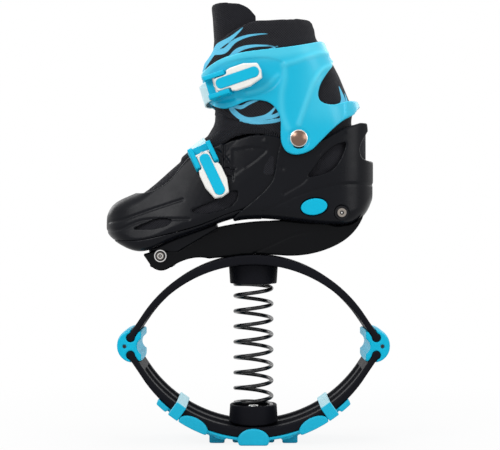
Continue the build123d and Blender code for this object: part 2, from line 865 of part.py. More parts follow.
top_x, top_z = cuff_points([top_buckle_shares])[0]
top_plane = buckle_plane(
    top_x, -(leg_side(top_z) + cuff_outer - seat_gap), top_z, top_buckle_heading, top_buckle_yaw, 0
)
toe_x, toe_z = boot_points([toe_buckle_shares])[0]
toe_plane = buckle_plane(
    toe_x, -(foot_side(toe_x, toe_z) + seat_gap), toe_z, toe_buckle_heading, 0, toe_buckle_tilt
)
top_strap_deep = 2 * (leg_side(top_z) + cuff_outer)
toe_strap_deep = 2 * foot_side(toe_x, toe_z)


def pin_spot(plane):
    """Middle of a buckle's hinge pin."""
    return plane.from_local_coords(Vector(pin_place, 0, pin_height))


def strap_screw_place(plane, deep):
    """Side-view place of the screw that holds a strap's fixed end on the far side."""
    spot = plane.from_local_coords(Vector(strap_screw_reach, 0, -deep))
    return spot.X, spot.Z


top_screw_x, top_screw_z = strap_screw_place(top_plane, top_strap_deep)
toe_screw_x, toe_screw_z = strap_screw_place(toe_plane, toe_strap_deep)
top_seat_y = leg_side(top_screw_z) + cuff_outer + seat_gap + strap_thickness / 2
toe_seat_y = foot_side(toe_screw_x, toe_screw_z) + seat_gap + strap_thickness / 2

# Rear shell
shell_bolt_y = foot_side(rear_bolt_x, rear_bolt_z) + running_gap + rear_wall
tower_clear = tower_width / 2 + running_gap
with BuildPart() as rear_shell:
    add(rear_outer_form)
    add(rear_inner_form, mode=Mode.SUBTRACT)
    add(
        side_slab(
            half_across,
            boot_points(rear_seam_shares),
            boot_points(rear_lobe_shares),
            boot_points(rear_top_shares),
            boot_points(rear_hook_shares),
            boot_points([rear_hook_shares[-1], rear_notch_shares[0]]),
            boot_points(rear_notch_shares),
            boot_points([rear_notch_shares[-1], (1.030, -0.050)]),
            boot_points([(1.030, -0.050), (0.476, -0.050)]),
            boot_points([(0.476, -0.050), rear_seam_shares[0]]),
        ),
        mode=Mode.INTERSECT,
    )
    add(side_slab(half_across, *[boot_points(run) for run in rear_vent_shares]), mode=Mode.SUBTRACT)
    # Opening below for the chassis's tower
    with BuildSketch(Plane.XY.offset(boot_z(0))):
        with Locations((rear_bolt_x, 0)):
            Rectangle(tower_length + 2 * running_gap, 2 * tower_clear)
    extrude(amount=shell_height / 3, mode=Mode.SUBTRACT)
    # Rivet holes, bolt holes with their recesses, and the button's window
    for turn in (-1, 1):
        with BuildSketch(across(turn * half_across)):
            with Locations((cuff_axis_x, cuff_axis_z)):
                Circle(rivet_radius + bore_gap)
            with Locations((rear_bolt_x, rear_bolt_z)):
                Circle(bolt_radius + seat_gap)
        extrude(amount=turn * half_across, mode=Mode.SUBTRACT)
        with BuildSketch(across(turn * (shell_bolt_y - bolt_recess_depth))):
            with Locations((rear_bolt_x, rear_bolt_z)):
                Circle(bolt_flange_radius + running_gap)
        extrude(amount=-turn * rear_wall * 2, mode=Mode.SUBTRACT)
    with BuildSketch(across(0)):
        with Locations(Location((button_x, button_z, 0), (0, 0, button_tilt))):
            Ellipse(button_length / 2 + running_gap, button_height / 2 + running_gap)
    extrude(amount=half_across, mode=Mode.SUBTRACT)
finish_part(rear_shell, "rear_shell")

# Front shell and its sole, which slide together in the rear shell
front_tail = [(front_tail_share, 0.860), (front_tail_share, 0.345)]
front_slab = side_slab(
    half_across,
    boot_points(throat_shares + [front_tail[0]]),
    boot_points(front_tail),
    boot_points(sole_seam_shares[::-1]),
    boot_points([sole_seam_shares[0], (-0.030, 0.560)]),
    boot_points([(-0.030, 0.560), (0.080, 0.560)]),
    boot_points([(0.080, 0.560), throat_shares[0]]),
)
# What the rear shell doesn't leave free for the toe part's tail at the longer sizes
slide_shares = (0.333, 0.667, 1.000)
tail_zone = side_polygon(half_across, boot_points([(0.440, -0.100), (0.800, -0.100), (0.800, 1.200), (0.440, 1.200)]))
tail_cuts = []
for share in slide_shares:
    with BuildPart() as tail_cut:
        add(tail_zone)
        add(front_form.moved(Location((share * size_travel, 0, 0))), mode=Mode.SUBTRACT)
    tail_cuts.append(tail_cut.part)
with BuildPart() as front_shell:
    add(front_form)
    add(front_inner_form, mode=Mode.SUBTRACT)
    add(front_slab, mode=Mode.INTERSECT)
    for cut in tail_cuts:
        add(cut, mode=Mode.SUBTRACT)
    for vent in (toe_vent_shares, toe_slot_shares):
        add(side_slab(half_across, *[boot_points(run) for run in vent]), mode=Mode.SUBTRACT)
    add(rod(toe_screw_x, toe_screw_z, strap_screw_radius + bore_gap, half_across, 0), mode=Mode.SUBTRACT)
finish_part(front_shell, "front_shell")

with BuildPart() as front_sole:
    add(front_form)
    add(front_inner_form, mode=Mode.SUBTRACT)
    add(
        side_slab(
            half_across,
            boot_points(sole_seam_shares),
            boot_points([sole_seam_shares[-1], (front_tail_share, -0.080)]),
            boot_points([(front_tail_share, -0.080), (-0.030, -0.080)]),
            boot_points([(-0.030, -0.080), sole_seam_shares[0]]),
        ).moved(Location((0, 0, -bore_gap))),
        mode=Mode.INTERSECT,
    )
    for cut in tail_cuts:
        add(cut, mode=Mode.SUBTRACT)
finish_part(front_sole, "front_sole")


# Chassis: two ears in front, a saddle over the upper arch, and a tower for the rear bolt
chassis_low_shares = [
    [(0.011, 0.292), (0.059, 0.066)],
    [(0.059, 0.066), (0.096, 0.014), (0.134, 0.048)],
    [(0.134, 0.048), (0.192, 0.150), (0.233, 0.189), (0.307, 0.183)],
    [(0.307, 0.183), (0.520, 0.250)],
    [(0.520, 0.250), (0.647, 0.224)],
    [(0.647, 0.224), (0.747, 0.251), (0.830, 0.332), (0.904, 0.467), (0.942, 0.589), (0.986, 0.914)],
]
chassis_top_shares = [
    (0.978, 0.888),
    (0.945, 0.719),
    (0.874, 0.679),
    (0.753, 0.641),
    (0.637, 0.685),
    (0.550, 0.702),
    (0.442, 0.651),
    (0.345, 0.594),
]
ear_top_share = (0.173, 0.264)
tower_foot_share = (0.879, 0.620)
pocket_shares = [(0.330, 0.330), (0.440, 0.360), (0.700, 0.360), (0.745, 0.450), (0.745, 1.000), (0.330, 1.000)]
ear_slot_shares = [(0.000, 0.000), (0.200, 0.000), (0.230, 0.450), (0.000, 0.450)]
with BuildPart() as frame:
    with BuildSketch(Plane.XZ):
        draw_outline(
            *[chassis_points(run) for run in chassis_low_shares],
            chassis_points([chassis_low_shares[-1][-1], chassis_top_shares[0]]),
            chassis_points(chassis_top_shares),
            chassis_points([chassis_top_shares[-1], ear_top_share]),
            chassis_points([ear_top_share, chassis_low_shares[0][0]]),
        )
    extrude(amount=chassis_width / 2, both=True)
    inner_half = chassis_width / 2 - chassis_wall
    add(side_polygon(inner_half, chassis_points(pocket_shares)), mode=Mode.SUBTRACT)
    add(side_polygon(inner_half, chassis_points(ear_slot_shares)), mode=Mode.SUBTRACT)
    add(foot_form(running_gap + rear_wall + bore_gap), mode=Mode.SUBTRACT)
    add(rear_inner_form, mode=Mode.SUBTRACT)
    tower_foot = chassis_points([tower_foot_share])[0][1]
    with BuildSketch(Plane.XY.offset(tower_foot)):
        with Locations((rear_bolt_x, 0)):
            Rectangle(tower_length, tower_width)
    extrude(amount=rear_bolt_z + tower_head - tower_foot)
    with BuildSketch(Plane.XZ):
        with Locations((0, upper_outer_centre_z)):
            Circle(outer_face_radius + seat_gap)
    extrude(amount=chassis_width, both=True, mode=Mode.SUBTRACT)
    with BuildSketch(across(-chassis_width)):
        with Locations((front_bolt_x, front_bolt_z), (rear_bolt_x, rear_bolt_z)):
            Circle(bolt_radius + bore_gap)
    extrude(amount=-2 * chassis_width, mode=Mode.SUBTRACT)
    with BuildSketch(Plane.XY.offset(crown_top_z - overrun)):
        Circle(cup_screw_radius + bore_gap)
    extrude(amount=2 * cup_screw_head_height + overrun + bore_gap, mode=Mode.SUBTRACT)
finish_part(frame, "frame")

# Wedge that fills the room between the chassis and the toe sole, with a block between the ears
# that the front bolt clamps
toe_wedge_shares = [(0.013, 0.306), (0.168, 0.278), (0.341, 0.612), (0.341, 0.950), (0.013, 0.950)]
toe_block_shares = [(0.050, 0.060), (0.150, 0.060), (0.165, 0.600), (0.040, 0.600)]
with BuildPart() as toe_rest:
    add(side_polygon(chassis_width / 2 - chassis_wall - seat_gap, chassis_points(toe_block_shares)))
    add(side_polygon(chassis_width / 2, chassis_points(toe_wedge_shares)))
    add(foot_form(seat_gap), mode=Mode.SUBTRACT)
    with BuildSketch(across(-chassis_width)):
        with Locations((front_bolt_x, front_bolt_z)):
            Circle(bolt_radius + bore_gap)
    extrude(amount=-2 * chassis_width, mode=Mode.SUBTRACT)
finish_part(toe_rest, "toe_rest")

# Heel base inside the rear shell, with room for the tower and the button
heel_front_share = 0.690
sole_low_share = 0.265
bed_shares = [(0.128, 0.070), (0.233, 0.138), (0.363, 0.240), (0.510, 0.325), (0.690, 0.385), (0.980, 0.405)]
button_y = foot_side(button_x, button_z)
button_flange_y = button_y - 4 * seat_gap
pocket_depth = button_flange + button_travel + button_spring_length
rack_x = boot_x(front_tail_share) + rack_length / 2 - 2 * front_wall
rack_z = boot_z(sole_low_share) + front_wall + seat_gap + rack_height / 2
rack_y = -(button_y - pocket_depth - running_gap - rack_thickness)
with BuildPart() as heel_base:
    add(foot_form(-running_gap))
    add(
        side_polygon(
            half_across,
            boot_points([(heel_front_share, 0.000), (1.000, 0.000), (1.000, 0.404), (heel_front_share, 0.384)]),
        ),
        mode=Mode.INTERSECT,
    )
    with BuildSketch(Plane.XY.offset(boot_z(0))):
        with Locations((rear_bolt_x, 0)):
            Rectangle(tower_length + 2 * running_gap, 2 * tower_clear)
    extrude(amount=rear_bolt_z + tower_head + running_gap - boot_z(0), mode=Mode.SUBTRACT)
    with BuildSketch(across(-half_across)):
        with Locations((rear_bolt_x, rear_bolt_z)):
            Circle(bolt_radius + bore_gap)
    extrude(amount=-2 * half_across, mode=Mode.SUBTRACT)
    with BuildSketch(across(-half_across)):
        with Locations(Location((button_x, button_z, 0), (0, 0, button_tilt))):
            Ellipse(
                button_length / 2 + button_flange + running_gap,
                button_height / 2 + button_flange + running_gap,
            )
    extrude(amount=-(half_across - button_y + pocket_depth), mode=Mode.SUBTRACT)
    # Channel that the toothed rack slides in, just past the floor of the button's pocket
    with BuildSketch(across(rack_y)):
        with Locations((rack_x, rack_z)):
            Rectangle(rack_length + 2 * running_gap, rack_height + 2 * running_gap)
    extrude(amount=rack_thickness / 2 + running_gap, both=True, mode=Mode.SUBTRACT)
finish_part(heel_base, "heel_base")


def chassis_bolt(x, z, seat_y, end_y):
    """Flanged bolt with a hexagon socket; its head stands on seat_y and its tip is at end_y."""
    with BuildPart() as bolt:
        with BuildSketch(across(seat_y)):
            with Locations((x, z)):
                Circle(bolt_flange_radius)
        extrude(amount=bolt_flange_height)
        with BuildSketch(across(seat_y - bolt_flange_height)):
            with Locations((x, z)):
                Circle(bolt_head_radius)
        extrude(amount=bolt_head_height)
        crown = bolt.faces().sort_by(Axis.Y)[0].edges()
        fillet(crown, bolt_head_height / 3)
        with BuildSketch(across(seat_y - bolt_flange_height - bolt_head_height)):
            with Locations((x, z)):
                RegularPolygon(bolt_socket / 2, 6)
        extrude(amount=-bolt_socket_depth, mode=Mode.SUBTRACT)
        with BuildSketch(across(seat_y)):
            with Locations((x, z)):
                Circle(bolt_radius)
        extrude(amount=seat_y - end_y)
    return bolt


def chassis_nut(x, z, seat_y):
    """Hexagon nut with a washer face, on the far side of the shoe."""
    with BuildPart() as nut:
        with BuildSketch(across(seat_y)):
            with Locations((x, z)):
                Circle(bolt_flange_radius)
                Circle(bolt_radius + bore_gap, mode=Mode.SUBTRACT)
        extrude(amount=-bolt_flange_height)
        with BuildSketch(across(seat_y + bolt_flange_height)):
            with Locations((x, z)):
                RegularPolygon(nut_radius, 6)
                Circle(bolt_radius + bore_gap, mode=Mode.SUBTRACT)
        extrude(amount=-nut_height)
    return nut


ear_face = chassis_width / 2 + seat_gap / 2
recess_face = shell_bolt_y - bolt_recess_depth + seat_gap / 2
nut_end = bolt_flange_height + nut_height
front_bolt = chassis_bolt(front_bolt_x, front_bolt_z, -ear_face, ear_face + nut_end)
front_bolt_nut = chassis_nut(front_bolt_x, front_bolt_z, ear_face)
rear_bolt = chassis_bolt(rear_bolt_x, rear_bolt_z, -recess_face, recess_face + nut_end)
rear_bolt_nut = chassis_nut(rear_bolt_x, rear_bolt_z, recess_face)
finish_part(front_bolt, "front_bolt")
finish_part(front_bolt_nut, "front_bolt_nut")
finish_part(rear_bolt, "rear_bolt")
finish_part(rear_bolt_nut, "rear_bolt_nut")

# Liner and tongue. Each is split at the ankle by a wedge about the rivets' axis,
# so that the upper part rocks with the cuff.
foot_wedge_angles = (19.0, 15.5)
collar_wedge_angles = (foot_wedge_angles[0] + rock_forward + 0.6, foot_wedge_angles[1] + rock_back + 0.6)
wedge_reach = shell_length


def wedge_points(angles, up):
    """Region above (+1) or below (-1) two lines that rise from the rivets' axis."""
    front = radians(angles[0])
    rear = radians(angles[1])
    far_z = cuff_axis_z + up * 2 * leg_height
    return [
        (cuff_axis_x, cuff_axis_z),
        (cuff_axis_x - wedge_reach * cos(front), cuff_axis_z + wedge_reach * sin(front)),
        (cuff_axis_x - wedge_reach * cos(front), far_z),
        (cuff_axis_x + wedge_reach * cos(rear), far_z),
        (cuff_axis_x + wedge_reach * cos(rear), cuff_axis_z + wedge_reach * sin(rear)),
    ]


tongue_root_shares = [(0.311, 0.722), (0.352, 0.775), (0.415, 0.840), (0.450, 0.960), (0.450, 1.400), (0.200, 1.400)]
tongue_root_shares += [(0.200, 0.722)]
shell_room = front_slab.moved(Location((0, 0, running_gap)))
flange_seat_y = foot_side(cuff_axis_x, cuff_axis_z) + running_gap - seat_gap
flange_room_y = flange_seat_y - rivet_flange_height - running_gap
with BuildPart() as liner_foot:
    add(liner_leg_form)
    add(shell_room, mode=Mode.SUBTRACT)
    add(liner_foot_form)
    add(liner_inner_form, mode=Mode.SUBTRACT)
    add(liner_leg_inner_form, mode=Mode.SUBTRACT)
    add(side_polygon(half_across, wedge_points(foot_wedge_angles, -1)), mode=Mode.INTERSECT)
    bed = boot_points(bed_shares)
    under = [(boot_x(1.1), bed[-1][1]), (boot_x(1.1), boot_z(-0.2)), (boot_x(0.128), boot_z(-0.2))]
    add(side_polygon(half_across, bed + under), mode=Mode.SUBTRACT)
    tongue_room = side_polygon(tongue_width / 2 + running_gap, boot_points(tongue_root_shares))
    add(tongue_room.moved(Location((0, 0, -running_gap))), mode=Mode.SUBTRACT)
    # Dents for the rivets' inner flanges
    for turn in (-1, 1):
        dent_radius = rivet_flange_radius + running_gap
        add(rod(cuff_axis_x, cuff_axis_z, dent_radius, turn * half_across, turn * flange_room_y), mode=Mode.SUBTRACT)
    # Room for the button's flange
    with BuildSketch(across(-half_across)):
        with Locations(Location((button_x, button_z, 0), (0, 0, button_tilt))):
            Ellipse(button_length / 2 + button_flange + running_gap, button_height / 2 + button_flange + running_gap)
    flange_reach = button_flange + button_travel + running_gap
    extrude(amount=-(half_across - button_flange_y + flange_reach), mode=Mode.SUBTRACT)
finish_part(liner_foot, "liner_foot")

with BuildPart() as tongue_lower:
    add(front_form)
    add(leg_form(0))
    add(shell_room, mode=Mode.SUBTRACT)
    add(liner_foot_form)
    add(liner_inner_form, mode=Mode.SUBTRACT)
    add(liner_leg_inner_form, mode=Mode.SUBTRACT)
    add(side_polygon(tongue_width / 2, boot_points(tongue_root_shares)), mode=Mode.INTERSECT)
    add(side_polygon(half_across, wedge_points(foot_wedge_angles, -1)), mode=Mode.INTERSECT)
finish_part(tongue_lower, "tongue_lower")

collar_out = cuff_inner - seat_gap * 2
collar_in = collar_out - collar_thickness
collar_top_shares = [(-0.662, 0.563), (-0.575, 0.690), (-0.538, 0.764), (-0.514, 0.827), (-0.451, 0.893)]
collar_top_shares += [(-0.364, 0.962), (-0.277, 1.014), (-0.054, 1.031), (0.067, 1.036), (0.093, 1.011)]
collar_top_shares += [(0.112, 0.942), (0.135, 0.830), (0.300, 0.760)]
tongue_top_shares = [(-0.700, 1.160), (-0.545, 1.165), (-0.528, 1.180), (-0.465, 1.181), (-0.365, 1.158)]
tongue_top_shares += [(-0.311, 1.121), (-0.281, 1.073), (-0.260, 0.995)]
lobe_clear_radius = 0.115 * cuff_width
with BuildPart() as liner_collar:
    add(leg_form(collar_out))
    add(leg_form(collar_in), mode=Mode.SUBTRACT)
    add(side_polygon(half_across, wedge_points(collar_wedge_angles, 1)), mode=Mode.INTERSECT)
    top_line = cuff_points(collar_top_shares)
    high_z = cuff_axis_z + 2 * leg_height
    cut = top_line + [(top_line[-1][0], high_z), (top_line[0][0], high_z)]
    add(side_polygon(half_across, cut), mode=Mode.SUBTRACT)
    # The wings leave a gap in front, and the rear shell's lobes need room beside the rivets.
    with BuildSketch(Plane.XY.offset(boot_z(leg_root_share))):
        with Locations((cuff_axis_x - leg_length, 0)):
            Rectangle(2 * leg_length * 0.9, cuff_front_opening * 0.8)
    extrude(amount=leg_height * 1.2, mode=Mode.SUBTRACT)
    for turn in (-1, 1):
        with BuildSketch(across(turn * half_across)):
            with Locations((cuff_axis_x, cuff_axis_z)):
                Circle(lobe_clear_radius)
        extrude(amount=turn * (half_across - foot_side(cuff_axis_x, cuff_axis_z) + 1.5 * rear_wall), mode=Mode.SUBTRACT)
finish_part(liner_collar, "liner_collar")

tongue_out = collar_in - liner_gap
with BuildPart() as tongue_upper:
    add(leg_form(tongue_out))
    add(leg_form(tongue_out - tongue_wall), mode=Mode.SUBTRACT)
    add(side_polygon(half_across, wedge_points(collar_wedge_angles, 1)), mode=Mode.INTERSECT)
    with BuildSketch(Plane.XY.offset(boot_z(leg_root_share))):
        with Locations((cuff_axis_x - 0.262 * cuff_width - leg_length / 2, 0)):
            Rectangle(leg_length, 2 * half_across)
    extrude(amount=leg_height * 1.2, mode=Mode.INTERSECT)
    top_line = cuff_points(tongue_top_shares)
    cut = top_line + [(top_line[-1][0], high_z), (top_line[0][0], high_z)]
    add(side_polygon(half_across, cut), mode=Mode.SUBTRACT)
finish_part(tongue_upper, "tongue_upper")

with BuildPart() as insole:
    add(foot_form(liner_in - seat_gap))
    bed = boot_points(bed_shares)
    raised = [(x, z + insole_thickness) for x, z in bed]
    add(side_polygon(half_across, [(x, z + seat_gap) for x, z in bed] + raised[::-1]), mode=Mode.INTERSECT)
finish_part(insole, "insole")

# Cuff: a band round the leg, cut to its side view, open in front and clear of the shells
cuff_top_shares = [(-0.620, 0.560), (-0.492, 0.678), (-0.289, 0.750), (-0.057, 0.786), (0.128, 0.849)]
cuff_rear_shares = [(0.128, 0.849), (0.161, 0.847), (0.186, 0.763), (0.221, 0.689)]
cuff_window_shares = [(0.221, 0.689), (0.191, 0.596), (0.121, 0.403), (0.129, 0.330), (0.163, 0.301), (0.258, 0.314)]
cuff_heel_shares = [(0.258, 0.314), (0.364, 0.336), (0.420, 0.330)]
cuff_low_shares = [(0.420, 0.230), (0.337, 0.203), (0.256, 0.136), (0.176, 0.036), (0.085, -0.092)]
cuff_lobe_shares = [(0.085, -0.092), (0.032, -0.128), (-0.028, -0.139), (-0.072, -0.118), (-0.102, -0.062)]
cuff_lobe_shares += [(-0.113, 0.043), (-0.117, 0.188)]
cuff_front_shares = [(-0.117, 0.188), (-0.139, 0.251), (-0.192, 0.313), (-0.251, 0.328), (-0.311, 0.324)]
cuff_front_shares += [(-0.386, 0.285), (-0.462, 0.260)]
cuff_end_shares = [(-0.462, 0.260), (-0.540, 0.300), (-0.620, 0.560)]
cuff_rib_shares = [(0.290, 0.340), (0.450, 0.340), (0.450, 0.190), (0.290, 0.165)]
rivet_y = leg_side(cuff_axis_z) + cuff_outer
with BuildPart() as cuff_rib:
    add(leg_form(cuff_outer).moved(Location((cuff_rib_depth, 0, 0))))
    add(side_polygon(half_across, cuff_points(cuff_rib_shares)), mode=Mode.INTERSECT)
with BuildPart() as cuff:
    add(leg_form(cuff_outer))
    add(cuff_rib.part)
    add(leg_form(cuff_inner), mode=Mode.SUBTRACT)
    add(
        side_slab(
            half_across,
            cuff_points(cuff_top_shares),
            cuff_points(cuff_rear_shares),
            cuff_points(cuff_window_shares),
            cuff_points(cuff_heel_shares),
            cuff_points([cuff_heel_shares[-1], cuff_low_shares[0]]),
            cuff_points(cuff_low_shares),
            cuff_points(cuff_lobe_shares),
            cuff_points(cuff_front_shares),
            cuff_points(cuff_end_shares),
        ),
        mode=Mode.INTERSECT,
    )
    add(foot_form(cuff_inner), mode=Mode.SUBTRACT)
    with BuildSketch(Plane.XY.offset(boot_z(leg_root_share))):
        with Locations((cuff_axis_x - leg_length, 0)):
            Rectangle(2 * leg_length * 0.85, cuff_front_opening)
    extrude(amount=leg_height, mode=Mode.SUBTRACT)
    for turn in (-1, 1):
        with BuildSketch(across(turn * half_across)):
            with Locations((cuff_axis_x, cuff_axis_z)):
                Circle(rivet_radius + bore_gap)
        extrude(amount=turn * half_across, mode=Mode.SUBTRACT)
        with BuildSketch(across(turn * half_across)):
            with Locations((cuff_axis_x, cuff_axis_z)):
                Circle(rivet_recess_radius)
        extrude(amount=turn * (half_across - rivet_y + rivet_recess_depth), mode=Mode.SUBTRACT)
    add(rod(top_screw_x, top_screw_z, strap_screw_radius + bore_gap, half_across, 0), mode=Mode.SUBTRACT)
finish_part(cuff, "cuff")

# Rivets, with a domed cap outside the cuff and a flange inside the rear shell
cap_seat_y = rivet_y - rivet_recess_depth + seat_gap
cap_sphere_radius = (rivet_cap_radius**2 + rivet_cap_height**2) / (2 * rivet_cap_height)
with BuildPart() as cuff_rivets:
    for turn in (-1, 1):
        with BuildSketch(Plane.YZ.offset(cuff_axis_x)):
            with BuildLine():
                Polyline(
                    (turn * (cap_seat_y + rivet_cap_height), cuff_axis_z),
                    (turn * (flange_seat_y - rivet_flange_height), cuff_axis_z),
                    (turn * (flange_seat_y - rivet_flange_height), cuff_axis_z + rivet_flange_radius),
                    (turn * flange_seat_y, cuff_axis_z + rivet_flange_radius),
                    (turn * flange_seat_y, cuff_axis_z + rivet_radius),
                    (turn * cap_seat_y, cuff_axis_z + rivet_radius),
                    (turn * cap_seat_y, cuff_axis_z + rivet_cap_radius),
                )
                ThreePointArc(
                    (turn * cap_seat_y, cuff_axis_z + rivet_cap_radius),
                    (
                        turn * (cap_seat_y + rivet_cap_height - cap_sphere_radius * (1 - cos(pi / 12))),
                        cuff_axis_z + cap_sphere_radius * sin(pi / 12),
                    ),
                    (turn * (cap_seat_y + rivet_cap_height), cuff_axis_z),
                )
            make_face()
        revolve(axis=Axis((cuff_axis_x, 0, cuff_axis_z), (0, 1, 0)))
finish_part(cuff_rivets, "cuff_rivets")


# Buckles
def buckle_base(plane, surface, strap_room):
    """Bridge over the strap with two cheeks that hold the pin, and a floor under the lever."""
    full = buckle_neck + 4 * seat_gap + 4 * cheek_thickness
    deep = 0.7 * buckle_width
    cheek_top = pin_height + 2.4 * pin_radius
    cheek_length = cheek_end + base_front
    front_end = -base_front
    with BuildPart() as base:
        with BuildSketch(plane.offset(-deep)):
            with Locations((front_end + cheek_length / 2, 0)):
                Rectangle(cheek_length, full)
        extrude(amount=deep + cheek_top)
        top_rim = base.faces().sort_by(Axis(plane.origin, plane.z_dir))[-1].edges()
        fillet(top_rim, 0.8 * cheek_thickness)
        with BuildSketch(plane.offset(bridge_height)):
            with Locations((front_end + cheek_length / 2, 0)):
                Rectangle(2 * cheek_length, buckle_neck + 4 * seat_gap)
        extrude(amount=buckle_width, mode=Mode.SUBTRACT)
        with BuildSketch(plane.offset(-deep)):
            with Locations(((front_end + bridge_end) / 2, 0)):
                Rectangle(bridge_end - front_end, full)
        extrude(amount=deep + bridge_height)
        with BuildSketch(plane.offset(-deep)):
            with Locations(((bridge_end + 0.88 * buckle_length) / 2, 0)):
                Rectangle(0.88 * buckle_length - bridge_end, 0.74 * buckle_width)
        extrude(amount=deep + strap_thickness)
        with BuildSketch(Plane(plane.from_local_coords(Vector(pin_place, -full, pin_height)), z_dir=plane.y_dir)):
            Circle(pin_radius + bore_gap)
        extrude(amount=2 * full, mode=Mode.SUBTRACT)
        add(surface, mode=Mode.SUBTRACT)
        add(strap_room, mode=Mode.SUBTRACT)
    with BuildPart() as whole:
        add(base.part.solids().sort_by(SortBy.VOLUME)[-1])
    return whole


# Outline of one half of the lever: place along as a share of the buckle's length, and half
# width as a share of the grip's.
inlay_corner_share = 0.48
lever_outline_shares = [(0.360, 0.591), (0.365, 0.900), (0.460, 1.000), (0.720, 1.000), (0.970, 0.660)]


def lever_body(plane):
    """Lever with a narrow neck at the pin and a broad rounded grip, grooved for its inlay."""
    neck = buckle_neck / 2
    grip = buckle_width / 2
    low = pin_height - lever_thickness / 2
    side = [(a * buckle_length, b * grip) for a, b in lever_outline_shares]
    with BuildPart() as lever:
        with BuildSketch(plane.offset(low)) as outline:
            with BuildLine():
                Polyline(
                    (pin_place, -neck),
                    *[(a, -b) for a, b in side],
                    (buckle_length, 0),
                    *side[::-1],
                    (pin_place, neck),
                    close=True,
                )
            make_face()
            fillet(outline.vertices().sort_by(Axis(plane.origin, plane.x_dir))[2:], 0.24 * neck)
        extrude(amount=lever_thickness)
        rim = lever.faces().sort_by(Axis(plane.origin, plane.z_dir))[-1].edges()
        fillet(rim, 0.3 * lever_thickness)
        with BuildSketch(Plane(plane.from_local_coords(Vector(pin_place, -neck, pin_height)), z_dir=plane.y_dir)):
            Circle(lever_thickness / 2)
        extrude(amount=2 * neck)
        # Rounded nose
        nose = pin_place - lever_thickness / 2
        with BuildSketch(plane.offset(low)):
            with Locations((nose + neck / 2, 0)):
                Rectangle(neck, 2 * neck)
            with Locations((nose + neck, 0)):
                Circle(neck, mode=Mode.SUBTRACT)
        extrude(amount=lever_thickness, mode=Mode.SUBTRACT)
        with BuildSketch(plane.offset(low + lever_thickness - inlay_height / 2)):
            with Locations((inlay_middle, 0)):
                RectangleRounded(inlay_length, inlay_width, inlay_corner_share * inlay_width)
        extrude(amount=inlay_height, mode=Mode.SUBTRACT)
        axle = Plane(plane.from_local_coords(Vector(pin_place, -buckle_width, pin_height)), z_dir=plane.y_dir)
        with BuildSketch(axle):
            Circle(pin_radius + bore_gap)
        extrude(amount=2 * buckle_width, mode=Mode.SUBTRACT)
    return lever


def lever_inlay(plane):
    """Coloured strip set into the lever's face."""
    low = pin_height + lever_thickness / 2 - inlay_height / 2 + bore_gap
    with BuildPart() as inlay:
        with BuildSketch(plane.offset(low)):
            with Locations((inlay_middle, 0)):
                RectangleRounded(
                    inlay_length - 2 * bore_gap,
                    inlay_width - 2 * bore_gap,
                    inlay_corner_share * (inlay_width - 2 * bore_gap),
                )
        extrude(amount=inlay_height)
        rim = inlay.faces().sort_by(Axis(plane.origin, plane.z_dir))[-1].edges()
        fillet(rim, 0.3 * inlay_height)
    return inlay


def buckle_pin(plane):
    """Pin through the cheeks and the lever's neck."""
    half = (buckle_neck + 4 * cheek_thickness) / 2 + 2 * seat_gap
    start = plane.from_local_coords(Vector(pin_place, -half, pin_height))
    with BuildPart() as pin:
        with BuildSketch(Plane(start, z_dir=plane.y_dir)):
            Circle(pin_radius)
        extrude(amount=2 * half)
    return pin


def strap_slab(plane, deep, half_width, end):
    """Region that a strap follows round the boot, before its end and past its screw on the far side."""
    far_end = strap_screw_reach + 2.2 * strap_screw_head_radius
    with BuildPart() as slab:
        for level, reach in ((buckle_width, end), (-deep / 2, far_end)):
            with BuildSketch(plane.offset(level)):
                with Locations((reach - shell_length / 2, 0)):
                    Rectangle(shell_length, 2 * half_width)
            extrude(amount=-2 * shell_width)
    return slab.part


def band_form(form, low, high):
    """Layer between two sizes of the same form of the boot."""
    with BuildPart() as layer:
        add(form(high))
        add(form(low), mode=Mode.SUBTRACT)
    return layer.part


def ladder_strap(layer, slab, x, z, y_seat):
    """Strap bent round the boot: a layer outside one of its forms, cut to the strap's band."""
    with BuildPart() as strap:
        add(layer)
        add(slab, mode=Mode.INTERSECT)
        add(rod(x, z, strap_screw_radius + bore_gap, half_across, 0), mode=Mode.SUBTRACT)
        add(rod(x, z, strap_screw_head_radius + seat_gap, half_across, y_seat), mode=Mode.SUBTRACT)
    return strap


def strap_screw(x, z, y_seat, y_tip):
    """Button-headed screw that holds a strap's fixed end on the far side."""
    with BuildPart() as screw:
        add(rod(x, z, strap_screw_head_radius, y_seat + strap_screw_head_height, y_seat))
        add(rod(x, z, strap_screw_radius, y_seat, y_tip))
    return screw


strap_half = strap_width / 2
top_layer = band_form(leg_form, cuff_outer + seat_gap, cuff_outer + seat_gap + strap_thickness)
top_room_layer = band_form(leg_form, cuff_outer, cuff_outer + 3 * seat_gap + strap_thickness)
top_strap_room = strap_slab(top_plane, top_strap_deep, strap_half + seat_gap, strap_end + running_gap)
with BuildPart() as top_room:
    add(top_room_layer)
    add(top_strap_room, mode=Mode.INTERSECT)
cuff_solid_form = leg_form(cuff_outer + seat_gap / 2)
top_buckle_base = buckle_base(top_plane, cuff_solid_form, top_room.part)
top_lever = lever_body(top_plane)
top_lever_inlay = lever_inlay(top_plane)
top_buckle_pin = buckle_pin(top_plane)
top_strap_band = strap_slab(top_plane, top_strap_deep, strap_half, strap_end)
top_strap = ladder_strap(top_layer, top_strap_band, top_screw_x, top_screw_z, top_seat_y)

